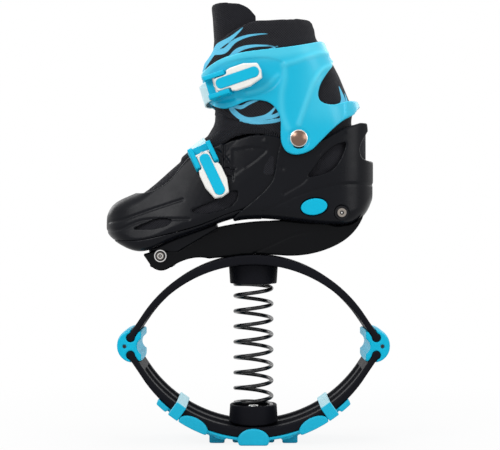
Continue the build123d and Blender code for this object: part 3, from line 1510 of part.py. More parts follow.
toe_layer = band_form(foot_form, seat_gap, seat_gap + strap_thickness)
toe_room_layer = band_form(foot_form, 0, 3 * seat_gap + strap_thickness)
toe_strap_room = strap_slab(toe_plane, toe_strap_deep, strap_half + seat_gap, strap_end + running_gap)
with BuildPart() as toe_room:
    add(toe_room_layer)
    add(toe_strap_room, mode=Mode.INTERSECT)
toe_solid_form = foot_form(seat_gap / 2)
toe_buckle_base = buckle_base(toe_plane, toe_solid_form, toe_room.part)
toe_lever = lever_body(toe_plane)
toe_lever_inlay = lever_inlay(toe_plane)
toe_buckle_pin = buckle_pin(toe_plane)
toe_strap_band = strap_slab(toe_plane, toe_strap_deep, strap_half, strap_end)
toe_strap = ladder_strap(toe_layer, toe_strap_band, toe_screw_x, toe_screw_z, toe_seat_y)

screw_depth = strap_thickness / 2 + seat_gap
top_strap_screw = strap_screw(top_screw_x, top_screw_z, top_seat_y, top_seat_y - screw_depth - cuff_wall)
toe_strap_screw = strap_screw(toe_screw_x, toe_screw_z, toe_seat_y, toe_seat_y - screw_depth - front_wall)
finish_part(top_buckle_base, "top_buckle_base")
finish_part(top_lever, "top_lever")
finish_part(top_lever_inlay, "top_lever_inlay")
finish_part(top_buckle_pin, "top_buckle_pin")
finish_part(top_strap, "top_strap")
finish_part(top_strap_screw, "top_strap_screw")
finish_part(toe_buckle_base, "toe_buckle_base")
finish_part(toe_lever, "toe_lever")
finish_part(toe_lever_inlay, "toe_lever_inlay")
finish_part(toe_buckle_pin, "toe_buckle_pin")
finish_part(toe_strap, "toe_strap")
finish_part(toe_strap_screw, "toe_strap_screw")
print("top pin", pin_spot(top_plane), "axis", top_plane.y_dir)
print("toe pin", pin_spot(toe_plane), "axis", toe_plane.y_dir)

# Size button, its spring, and the toothed rack on the tail of the toe part
button_face_y = button_y + running_gap + rear_wall + button_proud
spring_seat_y = button_flange_y - button_flange
with BuildPart() as size_button:
    with BuildSketch(across(-button_face_y)):
        with Locations(Location((button_x, button_z, 0), (0, 0, button_tilt))):
            Ellipse(button_length / 2, button_height / 2)
    extrude(amount=-(button_face_y - button_flange_y))
    outer_rim = size_button.faces().sort_by(Axis.Y)[0].edges()
    fillet(outer_rim, button_proud / 2)
    with BuildSketch(across(-button_flange_y)):
        with Locations(Location((button_x, button_z, 0), (0, 0, button_tilt))):
            Ellipse(button_length / 2 + button_flange, button_height / 2 + button_flange)
    extrude(amount=-button_flange)
finish_part(size_button, "size_button")

with BuildPart() as size_button_spring:
    with BuildSketch(across(-spring_seat_y + seat_gap)):
        with Locations((button_x, button_z)):
            Circle(button_spring_radius)
            Circle(button_spring_radius - button_spring_wall, mode=Mode.SUBTRACT)
    extrude(amount=-(spring_seat_y - 2 * seat_gap - (button_y - pocket_depth)))
finish_part(size_button_spring, "size_button_spring")

with BuildPart() as size_rack:
    with BuildSketch(across(rack_y)):
        with Locations((rack_x, rack_z)):
            Rectangle(rack_length, rack_height)
        notch_count = int(rack_length / rack_pitch) - 1
        with Locations((rack_x, rack_z + rack_height / 2)):
            with GridLocations(rack_pitch, 0, notch_count, 1):
                Rectangle(rack_notch, rack_height, mode=Mode.SUBTRACT)
    extrude(amount=rack_thickness / 2, both=True)
finish_part(size_rack, "size_rack")
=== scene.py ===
import math

import bpy
import numpy as np
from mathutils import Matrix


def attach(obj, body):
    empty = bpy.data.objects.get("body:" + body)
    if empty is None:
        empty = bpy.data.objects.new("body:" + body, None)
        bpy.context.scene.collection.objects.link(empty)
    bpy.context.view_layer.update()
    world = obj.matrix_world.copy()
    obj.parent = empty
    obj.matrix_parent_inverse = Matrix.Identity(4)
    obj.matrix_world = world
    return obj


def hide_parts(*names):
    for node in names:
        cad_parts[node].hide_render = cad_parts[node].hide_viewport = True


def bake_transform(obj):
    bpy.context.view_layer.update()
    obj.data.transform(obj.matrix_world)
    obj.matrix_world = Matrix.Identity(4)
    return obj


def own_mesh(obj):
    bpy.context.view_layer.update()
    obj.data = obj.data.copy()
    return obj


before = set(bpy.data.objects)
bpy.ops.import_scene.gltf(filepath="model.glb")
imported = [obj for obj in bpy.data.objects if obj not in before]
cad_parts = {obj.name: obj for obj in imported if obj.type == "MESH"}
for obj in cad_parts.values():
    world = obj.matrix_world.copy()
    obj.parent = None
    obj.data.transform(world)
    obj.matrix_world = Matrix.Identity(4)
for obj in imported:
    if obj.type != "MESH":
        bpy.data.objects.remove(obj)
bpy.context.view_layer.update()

import openvdb as vdb
from mathutils.bvhtree import BVHTree

# Millimetres in the frame of the CAD: +Z up, the toe towards -X, the buckles towards -Y.
AXIS_X, AXIS_Z = 43.95, 298.37
ROOT_Z, LEG_HIGH, LEG_LONG, LEG_WIDE = 261.95, 178.0, 153.0, 80.0
LEG_TABLE = np.array([
    (0.000, -0.484, 0.366, 0.437),
    (0.213, -0.595, 0.405, 0.462),
    (0.410, -0.549, 0.327, 0.450),
    (0.562, -0.595, 0.255, 0.469),
    (0.764, -0.556, 0.131, 0.487),
    (0.893, -0.556, 0.085, 0.500),
    (1.000, -0.569, 0.052, 0.506),
])


# Fields of signed distance, in millimetres, on a regular grid
class Field:
    def __init__(self, phi, low, vox):
        self.phi = phi.astype(np.float32)
        self.low = np.array(low, int)
        self.vox = vox

    def axis(self, a):
        return (self.low[a] + np.arange(self.phi.shape[a])) * self.vox

    def side(self):
        """X and Z of each column across the shoe."""
        return np.meshgrid(self.axis(0), self.axis(2), indexing="ij")

    def smooth(self, passes):
        p = self.phi
        for _ in range(passes):
            for a in range(3):
                p = np.moveaxis(p, a, 0)
                q = p.copy()
                q[1:-1] = 0.25 * p[:-2] + 0.5 * p[1:-1] + 0.25 * p[2:]
                p = np.moveaxis(q, 0, a)
        self.phi = p
        return self

    def join(self, other):
        """Adds what is inside another field on the same grid."""
        self.phi = np.minimum(self.phi, other.astype(np.float32))
        return self

    def within(self, plane):
        """Keeps what is inside a side-view signed distance."""
        self.phi = np.maximum(self.phi, plane[:, None, :].astype(np.float32))
        return self


def node_triangles(node):
    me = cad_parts[node].data
    co = np.empty(len(me.vertices) * 3, np.float32)
    me.vertices.foreach_get("co", co)
    me.calc_loop_triangles()
    tri = np.empty(len(me.loop_triangles) * 3, np.int32)
    me.loop_triangles.foreach_get("vertices", tri)
    return co.reshape(-1, 3) * 1000, tri.reshape(-1, 3)


def joined_triangles(nodes):
    points, tris, count = [], [], 0
    for node in nodes:
        p, t = node_triangles(node)
        points.append(p)
        tris.append(t + count)
        count += len(p)
    return np.concatenate(points).astype(np.float32), np.concatenate(tris).astype(np.uint32)


def field(nodes, vox, band=4):
    points, tris = joined_triangles(nodes)
    grid = vdb.FloatGrid.createLevelSetFromPolygons(
        points, triangles=tris, transform=vdb.createLinearTransform(voxelSize=vox), halfWidth=float(band)
    )
    low = np.floor(points.min(0) / vox).astype(int) - band - 1
    high = np.ceil(points.max(0) / vox).astype(int) + band + 1
    phi = np.full(tuple(high - low + 1), band * vox, np.float32)
    grid.copyToArray(phi, ijk=tuple(int(v) for v in low))
    return Field(phi, low, vox)


def surface(name, f, soft=False):
    """Object with the surface of a field, its faces turned outwards."""
    grid = vdb.FloatGrid(float(f.phi.max()))
    grid.transform = vdb.createLinearTransform(voxelSize=f.vox)
    grid.copyFromArray(np.ascontiguousarray(f.phi), ijk=tuple(int(v) for v in f.low))
    points, quads = grid.convertToQuads(0.0)
    points, quads = np.asarray(points, float), np.asarray(quads, int)
    a, b, c, d = (points[quads[:, k]] for k in range(4))
    volume = np.einsum("ij,ij->i", a, np.cross(b, c)).sum() + np.einsum("ij,ij->i", a, np.cross(c, d)).sum()
    if volume < 0:
        quads = quads[:, ::-1]
    me = bpy.data.meshes.new(name)
    me.vertices.add(len(points))
    me.vertices.foreach_set("co", (points / 1000).astype(np.float32).ravel())
    me.loops.add(quads.size)
    me.loops.foreach_set("vertex_index", quads.astype(np.int32).ravel())
    me.polygons.add(len(quads))
    me.polygons.foreach_set("loop_start", np.arange(0, quads.size, 4, dtype=np.int32))
    me.polygons.foreach_set("use_smooth", np.ones(len(quads), bool))
    me.update(calc_edges=True)
    me.validate()
    obj = bpy.data.objects.new(name, me)
    bpy.context.scene.collection.objects.link(obj)
    return obj


def corners(obj):
    co = np.empty(len(obj.data.vertices) * 3, np.float32)
    obj.data.vertices.foreach_get("co", co)
    return co.reshape(-1, 3) * 1000


def set_corners(obj, points):
    obj.data.vertices.foreach_set("co", (points / 1000).astype(np.float32).ravel())
    obj.data.update()


def normals(obj):
    n = np.empty(len(obj.data.vertices) * 3, np.float32)
    obj.data.vertex_normals.foreach_get("vector", n)
    return n.reshape(-1, 3)


def settle(obj, nodes):
    """Lays the parts of a surface that are nearly on the CAD faces onto them; rounded edges stay."""
    points, tris = joined_triangles(nodes)
    tree = BVHTree.FromPolygons(points.tolist(), tris.tolist())
    p = corners(obj)
    near = np.array([tree.find_nearest(q)[0] for q in p.tolist()])
    gap = np.linalg.norm(near - p, axis=1)
    set_corners(obj, p + (near - p) * np.clip((0.5 - gap) / 0.25, 0, 1)[:, None])
    return obj


def relief(obj, amount, foot):
    """Moves the outer skin of a shell along its normals by an amount that depends on the side view."""
    p, n = corners(obj), normals(obj)
    if foot:
        core = np.stack([np.clip(p[:, 0], -105, 85), 0 * p[:, 1], np.full(len(p), 240.0)], 1)
    else:
        core = np.stack([np.clip(p[:, 0], 0, 60), 0 * p[:, 1], p[:, 2]], 1)
    way = p - core
    facing = (n * way).sum(1) / np.maximum(np.linalg.norm(way, axis=1), 1e-6)
    weight = np.clip((facing - 0.15) / 0.4, 0, 1)
    set_corners(obj, p + n * (amount(p[:, 0], p[:, 2]) * weight)[:, None])
    return obj


def set_attribute(obj, name, values):
    attr = obj.data.attributes.new(name, "FLOAT", "POINT")
    attr.data.foreach_set("value", np.asarray(values, np.float32))


# Side-view curves
def curve(points, steps=10):
    """Catmull-Rom curve through points."""
    p = np.array([points[0]] + list(points) + [points[-1]], float)
    out = []
    for i in range(1, len(p) - 2):
        for t in np.linspace(0, 1, steps, endpoint=False):
            a, b, c, d = p[i - 1], p[i], p[i + 1], p[i + 2]
            out.append(0.5 * (2 * b + (c - a) * t + (2 * a - 5 * b + 4 * c - d) * t**2
                              + (3 * b - a - 3 * c + d) * t**3))
    out.append(p[-2])
    return np.array(out)


def line_distance(x, z, line):
    """Distance to a line of points, and the length along it of the nearest point."""
    best = np.full(x.shape, 1e9)
    along = np.zeros(x.shape)
    run = 0.0
    for a, b in zip(line[:-1], line[1:]):
        d = b - a
        size = math.hypot(*d) or 1e-9
        t = np.clip(((x - a[0]) * d[0] + (z - a[1]) * d[1]) / size**2, 0, 1)
        dist = np.hypot(x - a[0] - t * d[0], z - a[1] - t * d[1])
        near = dist < best
        best = np.where(near, dist, best)
        along = np.where(near, run + t * size, along)
        run += size
    return best, along


def region(x, z, outline):
    """Signed distance to a closed outline, below zero inside."""
    ring = np.vstack([outline, outline[:1]])
    dist, _ = line_distance(x, z, ring)
    odd = np.zeros(x.shape, bool)
    for a, b in zip(ring[:-1], ring[1:]):
        crosses = (a[1] > z) != (b[1] > z)
        at = a[0] + (z - a[1]) * (b[0] - a[0]) / (b[1] - a[1] if b[1] != a[1] else 1e-9)
        odd ^= crosses & (x < at)
    return np.where(odd, -dist, dist)


def step(value, edge):
    return 0.5 + 0.5 * np.tanh(value / edge)


def lines(x, z, strokes):
    """Sum of soft strokes, each a list of points, a width and a height."""
    total = np.zeros(x.shape)
    for points, width, height in strokes:
        dist, _ = line_distance(x, z, curve(points))
        total += height * np.exp(-((dist / width) ** 2))
    return total


def panel(x, z, outline, height, edge):
    return height * step(-region(x, z, curve(outline)), edge)


# Materials
class Shader:
    def __init__(self, name):
        self.mat = bpy.data.materials.new(name)
        self.mat.use_nodes = True
        self.tree = self.mat.node_tree
        self.bsdf = self.tree.nodes["Principled BSDF"]
        self.coord = self.tree.nodes.new("ShaderNodeTexCoord").outputs["Object"]

    def node(self, kind, inputs=(), **settings):
        n = self.tree.nodes.new(kind)
        for key, value in settings.items():
            setattr(n, key, value)
        for key, value in dict(inputs).items():
            self.put(n.inputs[key], value)
        return n

    def put(self, socket, value):
        if isinstance(value, bpy.types.NodeSocket):
            self.tree.links.new(value, socket)
        else:
            socket.default_value = value

    def math(self, op, *values):
        n = self.tree.nodes.new("ShaderNodeMath")
        n.operation = op
        for i, value in enumerate(values):
            self.put(n.inputs[i], value)
        return n.outputs[0]

    def noise(self, scale, detail=4.0, rough=0.5):
        n = self.node("ShaderNodeTexNoise", {
            "Vector": self.coord, "Scale": scale, "Detail": detail, "Roughness": rough,
        })
        return n.outputs["Fac"]

    def map(self, value, a, b, c, d):
        n = self.node("ShaderNodeMapRange", {0: value, 1: a, 2: b, 3: c, 4: d})
        return n.outputs[0]

    def mix(self, fac, a, b):
        n = self.tree.nodes.new("ShaderNodeMix")
        n.data_type = "RGBA"
        self.put(n.inputs[0], fac)
        self.put(n.inputs[6], a)
        self.put(n.inputs[7], b)
        return n.outputs[2]

    def attribute(self, name):
        return self.node("ShaderNodeAttribute", attribute_name=name).outputs["Fac"]

    def bands(self, direction, period):
        """Sine of the place along a direction, with a period in metres."""
        k = 2 * math.pi / period
        wave = [k * d for d in direction]
        dot = self.node("ShaderNodeVectorMath", {0: self.coord, 1: wave}, operation="DOT_PRODUCT")
        return self.math("SINE", dot.outputs["Value"])

    def bump(self, height, strength, distance):
        n = self.node("ShaderNodeBump", {"Height": height, "Strength": strength, "Distance": distance})
        self.tree.links.new(n.outputs[0], self.bsdf.inputs["Normal"])

    def set(self, **values):
        for key, value in values.items():
            self.put(self.bsdf.inputs[key.replace("_", " ")], value)
        return self


def plastic(name, color, rough, grain=0.00003, tint=0.08, shine=0.5, pale=None):
    """Moulded plastic. Where a pale colour is given, a point attribute of painted light leads from color to
    it: the pale colour is a painted highlight, and low values keep the darker colour as painted shade.
    """
    s = Shader(name)
    broad = s.noise(14.0, 3.0)
    fine = s.noise(900.0, 3.0, 0.6)
    dark = (*[c * (1 - tint) for c in color], 1)
    light = (*[c * (1 + tint) for c in color], 1)
    base = s.mix(s.map(broad, 0.3, 0.7, 0.0, 1.0), dark, light)
    if pale:
        # Painted light and shade: the attribute mixes in the pale highlight colour.
        base = s.mix(s.attribute("painted_light"), base, (*pale, 1))
    wear = s.noise(90.0, 6.0, 0.7)
    s.set(Base_Color=base, Roughness=s.map(wear, 0.35, 0.75, rough - 0.04, rough + 0.07))
    s.set(Specular_IOR_Level=shine)
    if grain:
        s.bump(fine, 0.2, grain)
    return s


def metal(name, color, rough, turned=False):
    s = Shader(name)
    fine = s.noise(1400.0, 2.0)
    s.set(Base_Color=(*color, 1), Metallic=1.0)
    s.set(Roughness=s.map(s.noise(260.0, 5.0, 0.7), 0.3, 0.7, rough * 0.8, rough * 1.5))
    s.bump(fine, 0.2 if turned else 0.1, 0.00002)
    return s


def painted_ring_metal(name, x, z, rings, rough):
    """Turned metal whose colour is painted in rings by the distance from an axis across the shoe, in
    millimetres: painted highlights and painted reflections of the turned head.
    """
    s = Shader(name)
    place = s.node("ShaderNodeSeparateXYZ", {0: s.coord})
    dx = s.math("SUBTRACT", place.outputs["X"], x / 1000)
    dz = s.math("SUBTRACT", place.outputs["Z"], z / 1000)
    out = s.math("SQRT", s.math("ADD", s.math("MULTIPLY", dx, dx), s.math("MULTIPLY", dz, dz)))
    base = (*rings[0][1], 1)
    soft = 0.25
    for radius, color in rings[1:]:
        past = s.map(out, (radius - soft) / 1000, (radius + soft) / 1000, 0.0, 1.0)
        base = s.mix(past, base, (*color, 1))
    s.set(Base_Color=base, Metallic=1.0)
    s.set(Roughness=s.map(s.noise(260.0, 5.0, 0.7), 0.3, 0.7, rough * 0.8, rough * 1.5))
    s.bump(s.noise(1400.0, 2.0), 0.15, 0.00002)
    return s


def weave(s, pitch):
    """Height of a diagonal cloth, from 0 to 1."""
    a = s.bands((0.7, 0.25, 0.7), pitch)
    b = s.bands((0.7, 0.25, -0.7), pitch)
    top = s.math("MAXIMUM", a, b)
    return s.map(top, -1.0, 1.0, 0.0, 1.0)


def fabric(name, color, pitch, flame=False, ribs=False):
    s = Shader(name)
    cloth = weave(s, pitch)
    # Painted light and shade on the weave: raised threads are painted lighter and the hollows between them
    # darker, from the same height as the bump.
    base = s.mix(cloth, (*[c * 0.35 for c in color], 1), (*[c * 2.8 for c in color], 1))
    height = cloth
    if flame:
        inside = s.map(s.attribute("print_field"), -0.25, 0.25, 0.0, 1.0)
        print_color = s.mix(s.noise(60.0), (0.10, 0.46, 0.68, 1), (0.16, 0.58, 0.80, 1))
        base = s.mix(inside, base, print_color)
        height = s.math("ADD", cloth, s.math("MULTIPLY", inside, 0.4))
    if ribs:
        wave = s.map(s.math("SINE", s.attribute("ribs")), -1.0, 1.0, 0.0, 1.0)
        mask = s.attribute("rib_mask")
        height = s.math("ADD", height, s.math("MULTIPLY", mask, s.math("MULTIPLY", wave, 6.0)))
        # Painted highlight on the crests of the ribs.
        base = s.mix(s.math("MULTIPLY", mask, wave), base, (*[c * 2.2 for c in color], 1))
    s.set(Base_Color=base, Roughness=s.map(s.noise(300.0), 0.3, 0.7, 0.7, 0.92))
    s.set(Sheen_Weight=0.03, Sheen_Roughness=0.5, Specular_IOR_Level=0.10)
    s.bump(height, 0.8, 0.00025)
    return s


# The pale blue is a painted highlight colour for the cuff.
DEEP_BLUE, CUFF_HIGHLIGHT_BLUE = (0.0005, 0.43, 0.64), (0.085, 0.585, 0.76)
black_shell = plastic("boot_black", (0.0034, 0.0038, 0.0058), 0.30, shine=0.12)
black_satin = plastic("chassis_black", (0.0032, 0.0034, 0.0042), 0.36, shine=0.08)
black_arch = plastic("arch_black", (0.0058, 0.0060, 0.0086), 0.50, grain=0, shine=0.06)
blue = plastic("blue_plastic", DEEP_BLUE, 0.40, grain=0, tint=0.03, shine=0.16)
blue_cuff = plastic("cuff_blue", DEEP_BLUE, 0.32, grain=0.00002, tint=0.03, shine=0.30, pale=CUFF_HIGHLIGHT_BLUE)
# Pale blue painted on the tops of the clips as a painted highlight.
CLIP_TOP_HIGHLIGHT = (0.36, 0.72, 0.82)
blue_clip = plastic("clip_blue", DEEP_BLUE, 0.34, grain=0, tint=0.04, shine=0.3, pale=CLIP_TOP_HIGHLIGHT)
white = plastic("white_plastic", (0.78, 0.77, 0.73), 0.28, tint=0.02, shine=0.4)
rubber = plastic("sole_rubber", (0.0005, 0.41, 0.61), 0.48, grain=0.0001, tint=0.07, shine=0.3)
strap = plastic("strap_pale", (0.60, 0.86, 0.92), 0.32, tint=0.03)
strap.set(Transmission_Weight=0.15, IOR=1.4)
steel = metal("zinc_steel", (0.55, 0.55, 0.54), 0.28, turned=True)
dark_steel = metal("dark_steel", (0.06, 0.06, 0.065), 0.35)
# Painted reflections on the bolt heads: the bright rings are painted highlights, and the dull and dark rings
# are painted reflections.
PAINTED_HIGHLIGHT, PAINTED_DULL_REFLECTION, PAINTED_DARK_REFLECTION = (0.78, 0.77, 0.75), (0.30, 0.27, 0.24), (0.02, 0.02, 0.022)
FRONT_BOLT, REAR_BOLT = (-91.1, 184.2), (85.7, 226.5)
FRONT_BOLT_PAINTED_RINGS = [(0, PAINTED_DULL_REFLECTION), (1.0, PAINTED_DARK_REFLECTION), (1.9, PAINTED_HIGHLIGHT), (2.5, PAINTED_DULL_REFLECTION), (3.4, PAINTED_DARK_REFLECTION), (5.1, PAINTED_HIGHLIGHT), (5.9, PAINTED_DARK_REFLECTION)]
REAR_BOLT_PAINTED_RINGS = [(0, PAINTED_HIGHLIGHT), (0.8, PAINTED_DARK_REFLECTION), (2.0, PAINTED_DULL_REFLECTION), (4.2, PAINTED_DARK_REFLECTION)]
# The rivet dome keeps its brown nickel colour; its bright rim is a painted highlight.
RIVET_COLOUR_AND_RIM_HIGHLIGHT = [(0, (0.20, 0.125, 0.095)), (7.7, (0.80, 0.74, 0.68))]
front_bolt_steel = painted_ring_metal("front_bolt_steel", *FRONT_BOLT, FRONT_BOLT_PAINTED_RINGS, 0.25)
rear_bolt_steel = painted_ring_metal("rear_bolt_steel", *REAR_BOLT, REAR_BOLT_PAINTED_RINGS, 0.25)
nickel = painted_ring_metal("rivet_nickel", AXIS_X, AXIS_Z, RIVET_COLOUR_AND_RIM_HIGHLIGHT, 0.22)
spring_paint = plastic("spring_black", (0.0035, 0.0035, 0.0045), 0.18, shine=0.40)
cloth_black = fabric("liner_black", (0.0065, 0.0065, 0.0080), 0.0016, ribs=True)
cloth_flame = fabric("liner_flame", (0.0080, 0.0080, 0.0095), 0.0018, flame=True)
cloth_tongue = fabric("tongue_black", (0.0060, 0.0060, 0.0075), 0.0014)


def dress(obj, shader):
    obj.data.materials.clear()
    obj.data.materials.append(shader.mat)


def place(obj, body, shader, *nodes):
    dress(obj, shader)
    if body:
        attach(obj, body)
    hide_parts(*nodes)
    return obj


# Leg form of the boot, as in the CAD
def leg(x, y, z, grow):
    """Signed distance in plan to the leg form grown by an amount."""
    up = np.clip((z - ROOT_Z) / LEG_HIGH, 0, 1)
    front, rear, wide = (np.interp(up, LEG_TABLE[:, 0], LEG_TABLE[:, k]) for k in (1, 2, 3))
    front = AXIS_X + front * LEG_LONG - grow
    rear = AXIS_X + rear * LEG_LONG + grow
    half = wide * LEG_WIDE + grow
    corner = 0.93 * half
    qx = np.abs(x - (front + rear) / 2) - ((rear - front) / 2 - corner)
    qy = np.abs(y) - (half - corner)
    outside = np.hypot(np.maximum(qx, 0), np.maximum(qy, 0))
    return outside + np.minimum(np.maximum(qx, qy), 0) - corner


def open_grid(low, high, vox):
    low = np.floor(np.array(low) / vox).astype(int)
    high = np.ceil(np.array(high) / vox).astype(int)
    axes = [np.arange(low[a], high[a] + 1) * vox for a in range(3)]
    return low, np.meshgrid(*axes, indexing="ij", sparse=True)


def flames(x, z, licks):
    """How far inside a set of tapering flame licks a place is, in millimetres."""
    best = np.full(x.shape, -50.0)
    for points, widths in licks:
        line = curve(points, 40)
        radii = np.interp(np.linspace(0, 1, len(line)), np.linspace(0, 1, len(widths)), widths)
        for (a, b), r in zip(line, radii):
            best = np.maximum(best, r - np.hypot(x - a, z - b))
    return best


# Chassis, arches, cups, blocks and sole
FINE, MEDIUM = ((1.0, 1.0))


SHELL_WALL = [(-34, 270), (-4, 270), (-4, 294), (14, 294), (14, 300), (-2.9, 302.2), (-22.8, 297.2),
              (-34, 292)]
LINER_WALL = [(-42, 258), (22, 262), (22, 299), (-2.9, 301), (-22.8, 295), (-42, 286)]


def instep_wall(body, outline, depth, half_thick):
    """A flat wall on each side of the instep, where the shell and liner of the CAD run out thin."""
    y = np.abs(body.axis(1))[None, :, None]
    x, z = body.side()
    outer = 31.3 + 0.14 * (x + 15) - 0.18 * (z - 290)
    zone = region(x, z, np.array(outline))
    slab = np.abs(y - (outer - depth)[:, None, :]) - half_thick
    return np.maximum(slab, zone[:, None, :])


def shell(name, node, vox, passes=1, window=None):
    """Surface of a CAD node with softly rounded edges. A window is a slot through the front shell,
    whose thin instep gets a wall as well."""
    body = field([node], vox)
    if window:
        body.join(instep_wall(body, SHELL_WALL, 0.9, 0.9))
    body.smooth(passes)
    if window:
        x, z = body.side()
        body.within(-region(x, z, curve(window)))
    return settle(surface(name, body), [node])


CHASSIS_LINES = [
    ([(-78, 187), (-60, 198), (-40, 208), (-36, 210)], 1.2, -0.8),
    ([(0, 186.5), (20, 196), (38, 204), (56, 208)], 1.2, -0.7),
]
CHASSIS_LIFT = np.array([(-92, 0), (-82, 2.0), (-60, 2.4), (-40, 2.4), (-28, 3.0), (-18, 3.0), (-8, 2.2),
                         (5, 1.4), (15, 1.2), (25, 2.4), (37, 3.2), (58, 4.0), (70, 3.0), (80, 0)])


def raised(obj):
    """Lifts the upper edges of a piece to meet the boot."""
    p = corners(obj)
    low = np.interp(p[:, 0], (-100, -74, -45, 0), (174, 182, 196, 206))
    p[:, 2] += np.interp(p[:, 0], *CHASSIS_LIFT.T) * np.clip((p[:, 2] - low) / 6, 0, 1)
    set_corners(obj, p)
    return obj


chassis = shell("chassis", "frame", MEDIUM)
relief(raised(chassis), lambda x, z: lines(x, z, CHASSIS_LINES), True)
place(chassis, "boot", black_satin, "frame")
place(shell("toe_block", "toe_rest", MEDIUM), "boot", black_shell, "toe_rest")

for node, body in (("upper_arch", "boot"), ("lower_arch", "root")):
    place(shell(node + "_shape", node, MEDIUM), body, black_arch, node)
for node, body in (("upper_cup", "boot"), ("lower_cup", "root")):
    place(shell(node + "_shape", node, 0.8), body, black_arch, node)
for node, body in (("front_hinge_block", "front_block"), ("rear_hinge_block", "rear_block")):
    place(shell(node + "_shape", node, 0.8), body, blue, node)
# The side lugs of the sole end flat near the tread, and the end ones stay outside the arch.
sole_field = field(["sole_pad"], 0.8).smooth(2)
x, z = sole_field.side()
ARCH_LOW, ARCH_OUT = 7.1, 129.7
out = np.hypot(x, z - ARCH_LOW - ARCH_OUT)
at_side = np.abs(sole_field.axis(1)) > 22
flat = np.where(np.abs(x) > 24, out - ARCH_OUT - 5.2, -5.0)[:, None, :]
sole_field.phi[:, at_side, :] = np.maximum(sole_field.phi[:, at_side, :], flat).astype(np.float32)
sole_field.within(np.where(np.abs(x) > 76, ARCH_OUT - out, -5.0))
place(settle(surface("sole_shape", sole_field), ["sole_pad"]), "root", rubber, "sole_pad")
for node in ("front_clip", "rear_clip"):
    clip = place(shell(node + "_shape", node, 0.6), "root", blue_clip, node)
    # Painted light: faces that look upwards are painted paler, as if lit from above.
    set_attribute(clip, "painted_light", np.clip((normals(clip)[:, 2] - 0.2) / 0.5, 0, 1))

# Boot shells
WINDOW = [(-20.9, 288.3), (-8.3, 289.8), (3.4, 289.7), (12.1, 287.4), (4.4, 279.6), (-7.3, 270.9),
          (-21.9, 261.1), (-20.9, 275), (-20.9, 288.3)]
TOE_LINES = [
    ([(-142.5, 217.6), (-125.8, 220.4), (-101.3, 228.7), (-69.1, 239.2)], 1.3, -0.7),
    ([(-145.6, 208.3), (-130.5, 210.6), (-111.1, 218.0), (-93.3, 220.1), (-62.5, 220.1)], 1.3, -0.8),
    ([(-35.4, 287.3), (-27.7, 280.5), (-21.8, 270.8), (-20.9, 258.2)], 1.4, -0.9),
    ([(-8.3, 289.8), (3.4, 289.7), (12.1, 287.4), (4.4, 279.6), (-7.3, 270.9)], 1.2, -0.5),
]
SLOT = [(-118.0, 210.2), (-108.0, 215.0), (-97.5, 219.2), (-88.0, 220.2), (-79.5, 219.0), (-84.5, 214.0),
        (-95.0, 211.2), (-106.0, 210.2), (-118.0, 210.2)]
SIDE_LINE = [(8.2, 227.1), (12.8, 228.6), (28.5, 236.7), (46.3, 244.4), (75.9, 252.3), (93.7, 254.3),
             (125, 254.3)]
HEEL_LINES = [
    (SIDE_LINE, 1.3, -0.7),
    ([(28.6, 244.5), (38.3, 250.3), (46.0, 254.7), (50.8, 259.5)], 1.6, -0.9),
    ([(62.5, 281.5), (70.2, 291.1), (79.9, 299.8), (88.6, 304.6)], 1.3, -0.7),
    ([(27.3, 269.6), (27.6, 269.8)], 2.6, -1.0),
]


def toe_relief(x, z):
    return lines(x, z, TOE_LINES) + panel(x, z, WINDOW, -0.55, 0.8)


def heel_relief(x, z):
    """The grooves of the heel, and the skin below the side line a little sunk."""
    below = curve(SIDE_LINE)
    depth = np.interp(x, below[:, 0], below[:, 1]) - z
    return lines(x, z, HEEL_LINES) - 0.5 * step(depth, 2.0) * (x > 8)


for node, body, skin, slot in (
    ("front_shell", "front", toe_relief, SLOT),
    ("rear_shell", "boot", heel_relief, None),
):
    place(relief(shell(node + "_shape", node, FINE, 1, slot), skin, True), body, black_shell, node)
sole_edge = field(["front_sole"], FINE).smooth(1)
sole_edge.phi -= 0.5
place(surface("front_sole_shape", sole_edge), "front", black_shell, "front_sole")
dress(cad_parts["heel_base"], black_satin)

# Cuff, with a sunk middle panel and soft ridges
CUFF_PANEL = [(-60, 356), (-46.9, 358.4), (-40.1, 364.7), (-30.4, 370.0), (-16.9, 373.8), (-3.4, 375.8),
              (12.1, 376.2), (22.7, 373.8), (29.4, 370.0), (27, 358), (18, 346), (0, 339), (-30, 334),
              (-60, 330), (-60, 356)]
CUFF_RIDGES = [
    ([(29.4, 370.0), (41.0, 372.9), (56.5, 378.7), (73.9, 383.5)], 2.6, 0.9),
    ([(75.8, 370.0), (66.1, 364.2), (58.4, 352.6), (52.6, 337.1), (47.8, 323.6), (43.9, 312)], 2.4, 1.0),
    ([(29.4, 368.0), (30, 356), (27, 340), (28, 322), (33, 308)], 3.0, 0.8),
    ([(-6, 343), (8.2, 346.8), (15.9, 352.6), (23.6, 359.4)], 2.2, 0.7),
]


def cuff_relief(x, z):
    return lines(x, z, CUFF_RIDGES) + panel(x, z, CUFF_PANEL, -1.1, 1.0)


cuff = place(relief(shell("cuff_shape", "cuff", FINE), cuff_relief, False), "cuff", blue_cuff, "cuff")
# Painted light on the cuff: a lighter band along the top, lighter ridges and a lighter upper rear stand for
# highlights.
CUFF_HIGHLIGHT_BAND = [(-60, 362), (-46, 366), (-38, 372), (-22, 378), (-3, 381), (16, 381), (40, 384), (58, 388),
             (75, 394)]
p = corners(cuff)
band, _ = line_distance(p[:, 0], p[:, 2], curve(CUFF_HIGHLIGHT_BAND))
painted_light = 0.75 * np.exp(-((band / 7.0) ** 2)) + 0.55 * np.clip(lines(p[:, 0], p[:, 2], CUFF_RIDGES), 0, 1)
painted_light += 0.45 * step(p[:, 0] - 52, 9.0) * step(p[:, 2] - 318, 9.0)
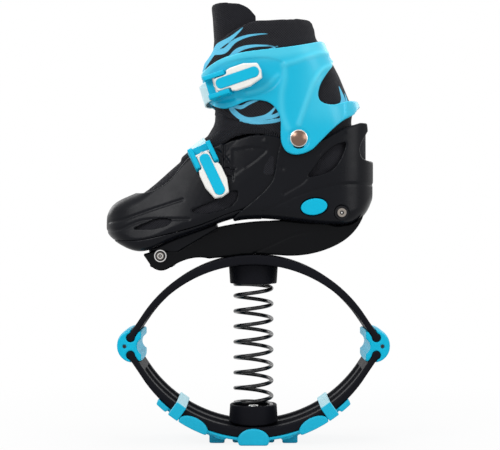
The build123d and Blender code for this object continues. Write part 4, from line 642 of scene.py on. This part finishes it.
# Painted shade: a darker ring in the recess around the rivet.
ring = np.hypot(p[:, 0] - AXIS_X, p[:, 2] - AXIS_Z)
painted_light -= 0.6 * step(10.6 - ring, 0.6)
set_attribute(cuff, "painted_light", np.clip(painted_light, 0, 1))

# Buckles and straps
for which, low_body in (("top", "cuff"), ("toe", "front")):
    lever_body = which + "_lever"
    for node, body, vox, passes, finish in (
        ("_buckle_base", low_body, 0.5, 1, blue),
        ("_lever", lever_body, 0.5, 2, white),
        ("_lever_inlay", lever_body, 0.3, 1, blue),
        ("_strap", low_body, 0.6, 1, strap),
    ):
        place(shell(which + node + "_shape", which + node, vox, passes), body, finish, which + node)
    dress(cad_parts[which + "_strap_screw"], steel)
    dress(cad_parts[which + "_buckle_pin"], steel)
place(shell("button_shape", "size_button", 0.4, 2), "size_button", blue, "size_button")

for node in ("upper_cup_screw", "lower_cup_screw", "size_button_spring"):
    dress(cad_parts[node], steel)
for node in ("front_bolt", "front_bolt_nut"):
    dress(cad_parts[node], front_bolt_steel)
for node in ("rear_bolt", "rear_bolt_nut"):
    dress(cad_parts[node], rear_bolt_steel)
for node in ("front_block_screws", "rear_block_screws"):
    dress(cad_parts[node], dark_steel)
dress(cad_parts["cuff_rivets"], nickel)
dress(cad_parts["size_rack"], black_satin)
coil = bpy.data.objects.new("coil_spring_shape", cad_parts["coil_spring"].data.copy())
scene_root = bpy.context.scene.collection
scene_root.objects.link(coil)
coil.data.polygons.foreach_set("use_smooth", np.ones(len(coil.data.polygons), bool))
WIRE_COAT = 0.45
set_corners(coil, corners(coil) + WIRE_COAT * normals(coil))
place(coil, "root", spring_paint, "coil_spring")

# Liner and tongue
SOFT = 2.4
WING_TOP = [(-60, 362), (-46.4, 376.4), (-40.5, 384.7), (-36.8, 391.8), (-26.9, 399.3), (-13.2, 407.1),
            (0.5, 412.5), (14.1, 413.2), (35.4, 414.9), (52, 415.6), (57.5, 413.6), (60.5, 406), (64.5, 394),
            (90, 380)]


def wedge_height(x, front, rear):
    """Height of a line that rises both ways from the rivets."""
    return AXIS_Z + np.where(x < AXIS_X, (AXIS_X - x) * math.tan(math.radians(front)),
                             (x - AXIS_X) * math.tan(math.radians(rear)))


def upper_liner(vox):
    low, (x, y, z) = open_grid((-70, -50, 290), (115, 50, 422), vox)
    turn = np.clip((z - wedge_height(x, 19.0, 15.5)) / 16.0, 0, 1)
    turn = turn * turn * (3 - 2 * turn)
    out = -3.4 + turn * 6.0 + 3.5 * np.exp(-(((z - 370) / 13) ** 2)) * np.clip((-26 - x) / 18, 0, 1)
    phi = np.maximum(leg(x, y, z, 0) - out, -(leg(x, y, z, 0) - out + 5.6))
    top = curve(WING_TOP, 8)
    phi = np.maximum(phi, (z - np.interp(x, top[:, 0], top[:, 1])) * 0.8)
    phi = np.maximum(phi, wedge_height(x, 19.0, 15.5) - 3.0 - z)
    # The wings part in front, above the instep.
    gap = np.maximum(np.maximum(np.abs(y) - 12.0, x - 20.0), wedge_height(x, 27.6, 20.1) + 2.0 - z)
    phi = np.maximum(phi, -gap)
    return Field(phi, low, vox)


def upper_tongue(vox):
    low, (x, y, z) = open_grid((-60, -42, 318), (12, 42, 440), vox)
    body = leg(x + 3.2 * np.clip((z - 380) / 45, 0, 1), y, z, 0)
    phi = np.maximum(body + 3.6, -(body + 8.2))
    top = curve([(-80, 431.4), (-39.0, 433.4), (-29.0, 432.6), (-13.3, 430.0), (-4.9, 425.8), (-0.1, 420.4),
                 (2.5, 410.5), (3.0, 330)], 8)
    along = low[0] * vox + np.arange(phi.shape[0]) * vox
    up = low[2] * vox + np.arange(phi.shape[2]) * vox
    xx, zz = np.meshgrid(along, up, indexing="ij")
    shape = region(xx, zz, np.vstack([top, [(3.0, 300), (-80, 300)]]))
    phi = np.maximum(phi, shape[:, None, :])
    phi = np.maximum(phi, wedge_height(x, 27.6, 20.1) - 2.0 - z)
    return Field(phi, low, vox)


def puff(obj, pins, cap, pressure=4.0):
    """Fills a closed fabric piece by a short cloth simulation; pins holds it at its seams."""
    rest = corners(obj) / 1000
    group = obj.vertex_groups.new(name="seams")
    for i in np.nonzero(pins > 0.5)[0]:
        group.add([int(i)], 1.0, "REPLACE")
    mod = obj.modifiers.new("cloth", "CLOTH")
    mod.settings.quality = 4
    mod.settings.mass = 0.25
    mod.settings.tension_stiffness = 25
    mod.settings.compression_stiffness = 25
    mod.settings.shear_stiffness = 12
    mod.settings.bending_stiffness = 2.0
    mod.settings.effector_weights.gravity = 0.0
    mod.settings.use_pressure = True
    mod.settings.uniform_pressure_force = pressure
    mod.settings.vertex_group_mass = "seams"
    mod.collision_settings.use_collision = False
    mod.point_cache.frame_start = 1
    mod.point_cache.frame_end = 20
    for number in range(1, 21):
        bpy.context.scene.frame_set(number)
    shaped = obj.evaluated_get(bpy.context.evaluated_depsgraph_get()).to_mesh()
    co = np.empty(len(shaped.vertices) * 3, np.float32)
    shaped.vertices.foreach_get("co", co)
    move = co.reshape(-1, 3) - rest
    size = np.linalg.norm(move, axis=1, keepdims=True)
    move *= np.minimum(1.0, cap / 1000 / np.maximum(size, 1e-9))
    obj.modifiers.remove(mod)
    obj.data.vertices.foreach_set("co", (rest + move).astype(np.float32).ravel())
    obj.data.update()
    bpy.context.scene.frame_set(1)
    fine = obj.modifiers.new("finer", "SUBSURF")
    fine.levels = fine.render_levels = 1
    with bpy.context.temp_override(object=obj, active_object=obj, selected_objects=[obj]):
        bpy.ops.object.modifier_apply(modifier=fine.name)
    obj.data.polygons.foreach_set("use_smooth", np.ones(len(obj.data.polygons), bool))


UPPER_LICKS = [
    ([(-56, 362), (-46, 376), (-36, 388), (-22, 396), (-10, 406)], [3.6, 3.4, 3.4, 1.9, 0.3]),
    ([(-42, 384), (-29, 384), (-18, 393), (-4, 398), (14, 400)], [2.6, 2.8, 1.8, 1.1, 0.3]),
    ([(-52, 363), (-38, 366), (-25, 374), (-15, 384), (0, 388), (20, 388)], [2.6, 3.0, 2.8, 2.2, 1.3, 0.3]),
    ([(-20, 374), (-6, 378), (4, 382), (14, 384), (24, 388)], [3, 2.0, 1.5, 1.0, 0.3]),
    ([(86, 330), (88, 338), (84, 351)], [3.2, 2.2, 0.2]),
    ([(91, 330), (92, 337), (90, 345)], [2.4, 1.2, 0.2]),
]
LOWER_LICKS = [
    ([(-26, 338), (-20, 326), (-8, 317.5), (6, 318), (16, 323), (27, 336)], [1.5, 2.4, 2.6, 2.4, 1.5, 0.3]),
    ([(-12, 316), (4, 314.5), (22, 316), (34, 320)], [1.6, 1.8, 1.8, 0.8]),
    ([(-24, 333), (-13, 329), (-4, 333), (8, 337)], [1.6, 1.8, 1.6, 0.3]),
    ([(8, 318), (22, 321), (30, 328), (34, 336)], [1.6, 1.8, 1.1, 0.3]),
]

liner_upper = surface("liner_collar_shape", upper_liner(SOFT))
p = corners(liner_upper)
top = curve(WING_TOP, 8)
under = np.abs(p[:, 2] - np.interp(p[:, 0], top[:, 0], top[:, 1]) + 15.0)
hem = p[:, 2] < wedge_height(p[:, 0], 19.0, 15.5) + 4.0
puff(liner_upper, (under < 1.3) | hem, 1.1)
p = corners(liner_upper)
set_attribute(liner_upper, "print_field", flames(p[:, 0], p[:, 2], UPPER_LICKS + LOWER_LICKS))
dress(liner_upper, cloth_flame)
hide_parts("liner_collar")
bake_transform(liner_upper)

tongue = surface("tongue_upper_shape", upper_tongue(2.0))
p = corners(tongue)
puff(tongue, p[:, 2] < wedge_height(p[:, 0], 27.6, 20.1) + 2.0, 1.0)
place(tongue, "cuff", cloth_tongue, "tongue_upper")

THROAT = [(-117.7, 246.3), (-96.7, 248.9), (-81.7, 258.6), (-69.9, 273.2), (-60.6, 282.9), (-46.4, 287.8),
          (-22.8, 298.2), (-2.9, 303.7), (18.8, 302.1), (35, 297)]
low_field = field(["liner_foot", "tongue_lower"], 2.0)
low_field.join(instep_wall(low_field, LINER_WALL, 4.4, 2.4)).smooth(1)
liner_low = surface("liner_foot_shape", low_field)
p = corners(liner_low)
inside = p[:, 2] < np.interp(p[:, 0], *np.array(THROAT).T) - 6
puff(liner_low, inside, 0.8)
p = corners(liner_low)
dist, along = line_distance(p[:, 0], p[:, 2], curve(THROAT))
set_attribute(liner_low, "ribs", along * 2 * math.pi / 2.2)
set_attribute(liner_low, "rib_mask", np.clip((11.0 - dist) / 1.0, 0, 1))
dress(liner_low, cloth_black)
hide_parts("liner_foot", "tongue_lower")
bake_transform(liner_low)

insole = surface("insole_shape", field(["insole"], 1.5).smooth(2))
place(insole, "front", cloth_tongue, "insole")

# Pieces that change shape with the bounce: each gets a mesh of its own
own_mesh(bpy.data.objects["upper_arch_shape"])
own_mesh(bpy.data.objects["lower_arch_shape"])
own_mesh(coil)

# Floor, light and camera
scene = bpy.context.scene
floor_mesh = bpy.data.meshes.new("floor")
floor_mesh.from_pydata([(-6, -6, 0), (6, -6, 0), (6, 6, 0), (-6, 6, 0)], [], [(0, 1, 2, 3)])
floor = bpy.data.objects.new("floor", floor_mesh)
scene.collection.objects.link(floor)
ground = Shader("pale_floor")
path = ground.node("ShaderNodeLightPath")
emit = ground.node("ShaderNodeEmission", {"Color": (1, 1, 1, 1), "Strength": 1.0})
pale = ground.node("ShaderNodeBsdfDiffuse", {"Color": (0.62, 0.62, 0.62, 1)})
shown = ground.math("MAXIMUM", path.outputs["Is Glossy Ray"], path.outputs["Is Transmission Ray"])
shown = ground.math("MAXIMUM", shown, path.outputs["Is Camera Ray"])
spot = ground.node("ShaderNodeVectorMath", {0: ground.coord}, operation="LENGTH").outputs["Value"]
shown = ground.math("MULTIPLY", shown, ground.map(spot, 0.15, 0.55, 0.90, 1.0))
both = ground.node("ShaderNodeMixShader", {0: shown, 1: pale.outputs[0], 2: emit.outputs[0]})
ground.tree.links.new(both.outputs[0], ground.tree.nodes["Material Output"].inputs["Surface"])
floor.data.materials.append(ground.mat)

world = bpy.data.worlds.new("studio")
world.use_nodes = True
scene.world = world
tree = world.node_tree
back = tree.nodes["Background"]
rays = tree.nodes.new("ShaderNodeLightPath")
seen = tree.nodes.new("ShaderNodeBackground")
seen.inputs["Color"].default_value = (1, 1, 1, 1)
seen.inputs["Strength"].default_value = 1.0
back.inputs["Strength"].default_value = 0.62
back.inputs["Color"].default_value = (0.97, 0.985, 1.0, 1)
mask = rays.outputs["Is Camera Ray"]
for kind in ("Is Glossy Ray", "Is Transmission Ray"):
    either = tree.nodes.new("ShaderNodeMath")
    either.operation = "MAXIMUM"
    tree.links.new(mask, either.inputs[0])
    tree.links.new(rays.outputs[kind], either.inputs[1])
    mask = either.outputs[0]
mixer = tree.nodes.new("ShaderNodeMixShader")
tree.links.new(mask, mixer.inputs[0])
tree.links.new(back.outputs[0], mixer.inputs[1])
tree.links.new(seen.outputs[0], mixer.inputs[2])
tree.links.new(mixer.outputs[0], tree.nodes["World Output"].inputs["Surface"])


def softbox(name, spot, aim, wide, high, power):
    data = bpy.data.lights.new(name, "AREA")
    data.shape = "RECTANGLE"
    data.size, data.size_y, data.energy = wide, high, power
    lamp = bpy.data.objects.new(name, data)
    lamp.location = spot
    way = np.array(aim, float) - np.array(spot, float)
    flat = math.hypot(way[0], way[1])
    lamp.rotation_euler = (math.atan2(flat, -way[2]), 0, math.atan2(-way[0], way[1]))
    scene.collection.objects.link(lamp)


softbox("key", (-0.9, -1.1, 1.25), (0, 0, 0.25), 0.9, 0.7, 13)
softbox("fill", (1.2, -1.0, 0.7), (0, 0, 0.25), 0.7, 0.9, 6)
softbox("over", (0.05, 0.1, 1.5), (0, 0, 0.25), 1.1, 0.8, 8)
softbox("back_left", (-1.0, 1.0, 0.9), (0, 0, 0.25), 0.7, 0.9, 5)
softbox("back_right", (1.0, 1.1, 0.9), (0, 0, 0.25), 0.7, 0.9, 5)

camera_data = bpy.data.cameras.new("camera")
camera_data.lens = 96.5
camera_data.sensor_width = 36.0
camera = bpy.data.objects.new("camera", camera_data)
camera.location = (-0.0034, -1.34, 0.2145)
camera.rotation_euler = (math.radians(90), 0, 0)
scene.collection.objects.link(camera)
scene.camera = camera
scene.view_settings.view_transform = "Standard"
